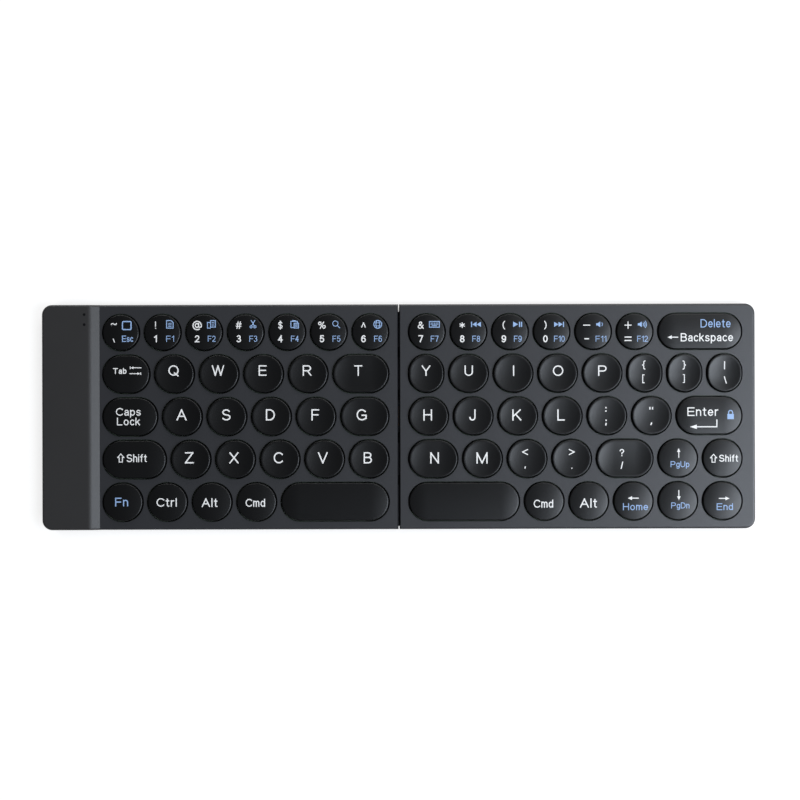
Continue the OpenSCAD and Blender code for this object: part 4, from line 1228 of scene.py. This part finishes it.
LEGENDS: dict[str, list[list[Mark]]] = {
    "escape_key": [[
        Mark("~", -2.75, 3.1, 3.0, width=2.4),
        Mark("`", -2.75, -3.45, 2.7, weight=0.14),
        Mark(Icon.SQUARE, 2.4, 2.5, 1.0, Ink.BLUE),
        Mark("Esc", 2.7, -2.75, 2.5, Ink.BLUE, 4.4),
    ]],
    "keys_1_to_3": [
        digit("!", "1", Icon.PAGE, "F1"),
        digit("@", "2", Icon.SHEETS, "F2", size=0.93, tall=3.5),
        digit("#", "3", Icon.SCISSORS, "F3", size=0.9),
    ],
    "keys_4_to_6": [
        digit("$", "4", Icon.BOARD, "F4", size=0.92),
        digit("%", "5", Icon.LENS, "F5", size=0.92),
        digit("^", "6", Icon.GLOBE, "F6"),
    ],
    "tab_key": [[Mark("Tab", -2.45, 1.0, 2.3, width=5.4, weight=0.16), Mark(Icon.TAB, 3.8, 1.1, 1.0)]],
    "keys_q_to_t": letters("QWERT", (-0.3, -0.35, -0.33, -0.36, -1.0), 1.2, 4.2),
    "caps_lock_key": [[
        Mark("Caps", -0.65, 1.75, 3.1, width=9.9, weight=0.125),
        Mark("Lock", -0.6, -2.1, 3.1, width=9.2, weight=0.125),
    ]],
    "keys_a_to_g": letters("ASDFG", (-0.24, -0.2, -0.38, -0.25, -1.23), 0.55),
    "left_shift_key": [[Mark(Icon.SHIFT, -5.4, 0.3, 0.9), Mark("Shift", 0.95, 0.3, 3.1, width=8.1)]],
    "keys_z_to_b": letters("ZXCVB", (-0.6, -0.55, -0.67, -0.68, -0.52), 0.45),
    "function_key": [[Mark("Fn", -0.4, -0.15, 3.45, Ink.BLUE, 5.2)]],
    "control_key": [[Mark("Ctrl", -0.25, -0.3, 3.45, width=8.1)]],
    "left_alt_key": [[Mark("Alt", -0.9, -0.4, 3.5, width=6.3)]],
    "left_command_key": [[Mark("Cmd", -0.45, -0.45, 3.2, width=7.8)]],
    "keys_7_to_9": [
        digit("&", "7", Icon.KEYS, "F7", -2.45),
        digit("*", "8", Icon.BACK, "F8", -2.5),
        digit("(", "9", Icon.PLAY, "F9", -2.5),
    ],
    "keys_0_to_equals": [
        digit(")", "0", Icon.NEXT, "F10", -2.5),
        digit("-", "-", Icon.SOFT, "F11", -2.6),
        digit("+", "=", Icon.LOUD, "F12"),
    ],
    "backspace_key": [[
        Mark("Delete", 6.2, 3.4, 3.3, Ink.BLUE, 12.0, weight=0.11),
        Mark(Icon.ARROW, -10.85, -2.1, 0.96, turn=180),
        Mark("Backspace", 2.7, -2.15, 3.3, width=20.9, weight=0.125),
    ]],
    "keys_y_to_p": letters("YUIOP", (-0.07, 0.11, 0.22, 0.18, 0.06), 1.15, 4.2),
    "bracket_keys": [
        [
            Mark("{", -0.3, 3.4, 3.6, width=1.35, weight=0.10),
            Mark("[", -0.45, -2.1, 3.5, width=0.9, weight=0.10),
        ],
        [
            Mark("}", -0.1, 3.4, 3.6, width=1.35, weight=0.10),
            Mark("]", -0.28, -2.0, 3.5, width=0.8, weight=0.10),
        ],
        [Mark("|", 0.0, 3.3, 3.2), Mark("\\", 0.3, -2.55, 2.9)],
    ],
    "keys_h_to_l": letters("HJKL", (-0.35, -0.29, -0.36, -0.52), 0.5),
    "semicolon_and_quote_keys": [
        pair(":", ";", -0.38, 2.75, -2.3, weight=0.18),
        pair("\"", "'", -0.1, 3.2, -3.0, 2.6, 0.19),
    ],
    "enter_key": [[
        Mark("Enter", -2.6, 1.85, 3.45, width=12.3, weight=0.125),
        Mark(Icon.RETURN, -2.2, -3.3, 1.0),
        Mark(Icon.LOCK, 8.5, 0.6, 1.0, Ink.BLUE),
    ]],
    "keys_n_and_m": letters("NM", (0.5, -0.2), 0.4),
    "comma_to_slash_keys": [
        pair("<", ",", -0.8, 2.76, -3.3),
        pair(">", ".", 0.05, 2.76, -3.7),
        pair("?", "/", -1.15, 2.55, -2.55),
    ],
    "up_arrow_key": [[
        Mark(Icon.ARROW, 0.3, 2.4, 0.87, turn=90),
        Mark("PgUp", 0.8, -2.1, 2.4, Ink.BLUE, 7.5, weight=0.12),
    ]],
    "right_shift_key": [[
        Mark(Icon.SHIFT, -3.6, 0.2, 0.88),
        Mark("Shift", 2.4, 0.3, 2.8, width=7.6, weight=0.14),
    ]],
    "right_command_key": [[Mark("Cmd", -0.35, -0.8, 3.2, width=7.8)]],
    "right_alt_key": [[Mark("Alt", -0.2, -0.55, 3.7, width=6.8)]],
    "left_arrow_key": [[
        Mark(Icon.ARROW, -0.1, 1.4, 1.0, turn=180),
        Mark("Home", 0.8, -2.0, 2.8, Ink.BLUE, 10.0, weight=0.12),
    ]],
    "down_arrow_key": [[
        Mark(Icon.ARROW, 0.3, 2.6, 0.92, turn=-90),
        Mark("PgDn", 0.9, -1.5, 2.4, Ink.BLUE, 7.3, weight=0.12),
    ]],
    "right_arrow_key": [[
        Mark(Icon.ARROW, 0.6, 1.3, 0.98),
        Mark("End", 0.85, -2.0, 2.7, Ink.BLUE, 6.5, weight=0.12),
    ]],
}


# ---- Sub-assemblies ----


def key_nodes() -> list[str]:
    """Names of the key nodes, each a body of its own."""
    return [body for body in frame["bodies"] if body in frame["nodes"] and body != "hinge_spine"]


@dataclass
class KeySwitches:
    """Domes, scissor frames and wires under the caps, which give way when a key goes down.

    Attributes:
        kinds: Finish and material slot of each kind, by the ending of its node's name.
        travel: How far a key goes down, in metres. Not used.
    """

    kinds: dict[str, tuple[Finish, str]] = field(default_factory=lambda: {
        "rubber_domes": (SILICONE, "dome_rubber"),
        "scissor_frames": (SCISSOR, "scissor_plastic"),
        "stabilisers": (WIRE, "wire_steel"),
    })
    travel: float = 0.0013

    def build(self) -> None:
        """Splits each kind among the keys above it, into pieces that ride with their half."""
        for kind, (finish, slot) in self.kinds.items():
            material = material_of(finish)
            for half in ("left", "right"):
                node = f"{half}_{kind}"
                whole = merged(node)
                solids = islands(whole)
                for key in key_nodes():
                    chosen = self._under(key, solids)
                    if not chosen:
                        continue
                    piece = self._cut(f"{key}_{kind}", whole, chosen, material)
                    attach(piece, f"{half}_half")
                    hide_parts(node)
                    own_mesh(piece)
                LOG.info("%s: %d solids", node, len(solids))
                whole.free()

    def _under(self, key: str, solids: Sequence[tuple[Block, set[int]]]) -> set[int]:
        """Points of the solids whose middle lies under a key node.

        Args:
            key: Name of the key node.
            solids: Box and points of each solid.

        Returns:
            Numbers of the points.
        """
        low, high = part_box(key)
        found: set[int] = set()
        for block, points in solids:
            if low.x < block.centre.x < high.x and low.y < block.centre.y < high.y:
                found |= points
        return found

    def _cut(self, name: str, whole: BMesh, chosen: set[int], material: Material) -> Object:
        """Makes a piece of some of a mesh's points.

        Args:
            name: Name of the piece.
            whole: The mesh it comes from.
            chosen: Numbers of its points.
            material: Its material.

        Returns:
            The piece.
        """
        part = whole.copy()
        bmesh.ops.delete(part, geom=[v for v in part.verts if v.index not in chosen], context="VERTS")
        return piece_of(name, part, [material])


@dataclass
class KeySet:
    """The key caps and their legends.

    Attributes:
        dished: Form of the letter and punctuation caps.
        crowned: Form of the other caps.
        letter_nodes: Nodes of the dished caps.
    """

    dished: CapForm = field(default_factory=lambda: CapForm(Top.DISHED))
    crowned: CapForm = field(default_factory=lambda: CapForm(Top.CROWNED))
    letter_nodes: tuple[str, ...] = (
        "keys_q_to_t", "keys_a_to_g", "keys_z_to_b", "keys_y_to_p", "bracket_keys", "keys_h_to_l",
        "semicolon_and_quote_keys", "keys_n_and_m", "comma_to_slash_keys",
    )

    def build(self) -> None:
        """Replaces each key node with smooth caps and prints its legends."""
        tree, printer = CapTree(), Printer()
        cap, inks = material_of(CAP), [material_of(INK_WHITE), material_of(INK_BLUE)]
        low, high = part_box("escape_key")
        depth = (high.z - low.z) / MM
        patterns = {form.top: form.pattern(depth) for form in (self.dished, self.crowned)}
        for node in key_nodes():
            form = self.dished if node in self.letter_nodes else self.crowned
            blocks = solids_of(node)
            caps = tree.fill(f"{node}_caps", blocks, patterns[form.top], cap)
            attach(caps, node)
            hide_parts(node)
            LOG.info("%s: %d caps", caps.name, len(blocks))
            if node in LEGENDS:
                legend = printer.print(f"{node}_legends", blocks, LEGENDS[node], form, inks)
                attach(legend, node)
                LOG.info("%s: %d marks", legend.name, sum(map(len, LEGENDS[node])))
        for pattern in patterns.values():
            bpy.data.objects.remove(pattern)


@dataclass
class Cases:
    """The two halves, the hinge and what they hold, all as the frame has them.

    Attributes:
        finishes: Finish of each node.
    """

    finishes: dict[str, Finish] = field(default_factory=lambda: {
        **dict.fromkeys(("left_upper_case", "left_lower_case"), CASE),
        **dict.fromkeys(("right_upper_case", "right_lower_case"), CASE),
        "left_end_cover": BAY,
        **dict.fromkeys(("left_support_plate", "right_support_plate"), SHEET_STEEL),
        **dict.fromkeys(("left_membrane", "right_membrane"), FILM),
        **dict.fromkeys(("left_magnets", "right_magnets"), MAGNET),
        **dict.fromkeys(("left_feet", "right_feet"), FOOT),
        **dict.fromkeys(("left_screws", "right_screws"), SCREW),
        "hinge_pins": WIRE,
        "hinge_spine": SPINE_STEEL,
        "hinge_ribbon": RIBBON,
        "main_board": SOLDER_MASK,
        "battery": POUCH,
        "charging_port": PORT,
        "status_lights": LIGHT_PIPE,
    })

    def build(self) -> None:
        """Gives each carried-over node its finish."""
        for node, finish in self.finishes.items():
            materials = frame["nodes"][node].data.materials
            materials.clear()
            materials.append(material_of(finish))
            LOG.info("%s: %s", node, finish.name)


# ---- Studio ----


@dataclass(frozen=True)
class Softbox:
    """A rectangular lamp that faces the keyboard.

    Attributes:
        name: Name of the lamp.
        place: Where it stands, in metres.
        size: Length and height.
        power: Power in watts.
        tint: Colour of the light.
    """

    name: str
    place: tuple[float, float, float]
    size: tuple[float, float]
    power: float
    tint: tuple[float, float, float] = (1, 1, 1)

    def build(self) -> None:
        """Adds the lamp, turned towards the origin."""
        lamp = bpy.data.lights.new(self.name, "AREA")
        lamp.shape = "RECTANGLE"
        lamp.size, lamp.size_y = self.size
        lamp.energy = self.power
        lamp.color = self.tint
        stand = bpy.data.objects.new(self.name, lamp)
        stand.location = self.place
        stand.rotation_euler = (-Vector(self.place)).to_track_quat("-Z", "Y").to_euler()
        bpy.context.scene.collection.objects.link(stand)


@dataclass
class Studio:
    """Camera, floor and lamps.

    Attributes:
        field_width: Width of the picture at the keyboard's height, in metres.
        middle: Place on the keyboard under the camera.
        roll: Turn of the camera about its view, in degrees.
        lens: Focal length in millimetres.
        sensor: Width of the sensor in millimetres.
        lamps: The lamps.
        sky: Strength of the surrounding light.
        floor_reach: Half the width of the floor, in metres.
        floor_colour: Colour of the floor as light bounces off it.
        floor_tint: Share of the lamps' light that the camera sees on it.
        painted_shade_reach: How near the floor something must cover it for the painted shade, in metres.
        painted_shade_range: Open share of the floor's sky where the painted shade is full, and where the
            floor is white.
        floor_glow: Strength of the white that the camera and reflections see.
    """

    field_width: float = 0.3197
    middle: tuple[float, float, float] = (0.0005, 0.0067, 0.0068)
    roll: float = -0.147
    lens: float = 85.0
    sensor: float = 36.0
    lamps: tuple[Softbox, ...] = (
        Softbox("right softbox", (0.62, -0.16, 0.95), (0.55, 0.55), 5.6, (0.92, 1.0, 1.11)),
        Softbox("front softbox", (0.66, -0.34, 0.88), (0.9, 0.9), 6.0, (0.92, 1.0, 1.11)),
        Softbox("back softbox", (0.45, 0.62, 0.85), (0.6, 0.6), 3.0),
        Softbox("back strip", (-0.15, 0.95, 0.40), (1.0, 0.25), 3.0),
    )
    sky: float = 0.03
    floor_reach: float = 15.0
    floor_colour: tuple[float, float, float, float] = (0.82, 0.82, 0.82, 1)
    floor_tint: tuple[float, float, float, float] = (0.25, 0.25, 0.25, 1)
    painted_shade_reach: float = 0.02
    painted_shade_range: tuple[float, float] = (0.1, 0.35)
    floor_glow: float = 0.86

    def build(self) -> None:
        """Sets up the studio."""
        self._camera()
        self._floor()
        self._world()
        for lamp in self.lamps:
            lamp.build()
        bpy.context.scene.view_settings.view_transform = "Standard"
        LOG.info("studio: %d lamps", len(self.lamps))

    def _camera(self) -> None:
        """Hangs the camera straight over the keyboard."""
        data = bpy.data.cameras.new("overhead camera")
        data.lens, data.sensor_width = self.lens, self.sensor
        camera = bpy.data.objects.new("overhead camera", data)
        x, y, z = self.middle
        camera.location = (x, y, z + self.field_width * self.lens / self.sensor)
        camera.rotation_euler.z = math.radians(self.roll)
        bpy.context.scene.collection.objects.link(camera)
        bpy.context.scene.camera = camera

    def _floor(self) -> None:
        """Lays a pale floor that the camera and reflections see as white, with painted shade that darkens it
        under the keyboard.
        """
        mesh = bmesh.new()
        bmesh.ops.create_grid(mesh, x_segments=8, y_segments=8, size=self.floor_reach)
        graph = ShaderGraph("pale floor")
        graph.feed("Base Color", self.floor_colour)
        graph.feed("Roughness", 0.9)
        graph.feed("Specular IOR Level", 0.1)
        path = graph.add("ShaderNodeLightPath").outputs
        seen = path["Is Camera Ray"]
        for ray in ("Is Glossy Ray", "Is Transmission Ray"):
            seen = graph.add("ShaderNodeMath", {0: seen, 1: path[ray]}, operation="MAXIMUM").outputs[0]
        # Painted shade: ambient occlusion dims the floor's white glow where the keyboard covers it, so it
        # looks dark under the keyboard.
        cover = graph.add("ShaderNodeAmbientOcclusion", {"Distance": self.painted_shade_reach}, samples=4)
        dark, white = self.painted_shade_range
        clear = graph.add("ShaderNodeMapRange", {
            "Value": cover.outputs["AO"], "From Min": dark, "From Max": white, "To Max": self.floor_glow,
        }).outputs[0]
        glow = graph.add("ShaderNodeEmission", {"Color": (1, 1, 1, 1), "Strength": clear})
        shade = graph.add("ShaderNodeBsdfDiffuse", {"Color": self.floor_tint})
        both = graph.add("ShaderNodeAddShader", {0: glow.outputs[0], 1: shade.outputs[0]})
        mix = graph.add("ShaderNodeMixShader", {0: seen, 1: graph.surface.outputs[0], 2: both.outputs[0]})
        graph.tree.links.new(mix.outputs[0], graph.output.inputs["Surface"])
        piece_of("floor", mesh, [graph.material])

    def _world(self) -> None:
        """Surrounds the scene with a faint even light."""
        world = bpy.data.worlds.new("soft surround")
        world.use_nodes = True
        world.node_tree.nodes.clear()
        feeds = {"Color": (1, 1, 1, 1), "Strength": self.sky}
        back = add_node(world.node_tree, "ShaderNodeBackground", feeds)
        add_node(world.node_tree, "ShaderNodeOutputWorld", {"Surface": back.outputs[0]})
        bpy.context.scene.world = world


def main() -> None:
    """Builds the sub-assemblies and the studio."""
    logging.basicConfig(level=logging.INFO, format="%(name)s: %(message)s")
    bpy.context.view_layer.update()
    for part in (Cases(), KeySwitches(), KeySet(), Studio()):
        part.build()


if __name__ == "__main__":
    main()
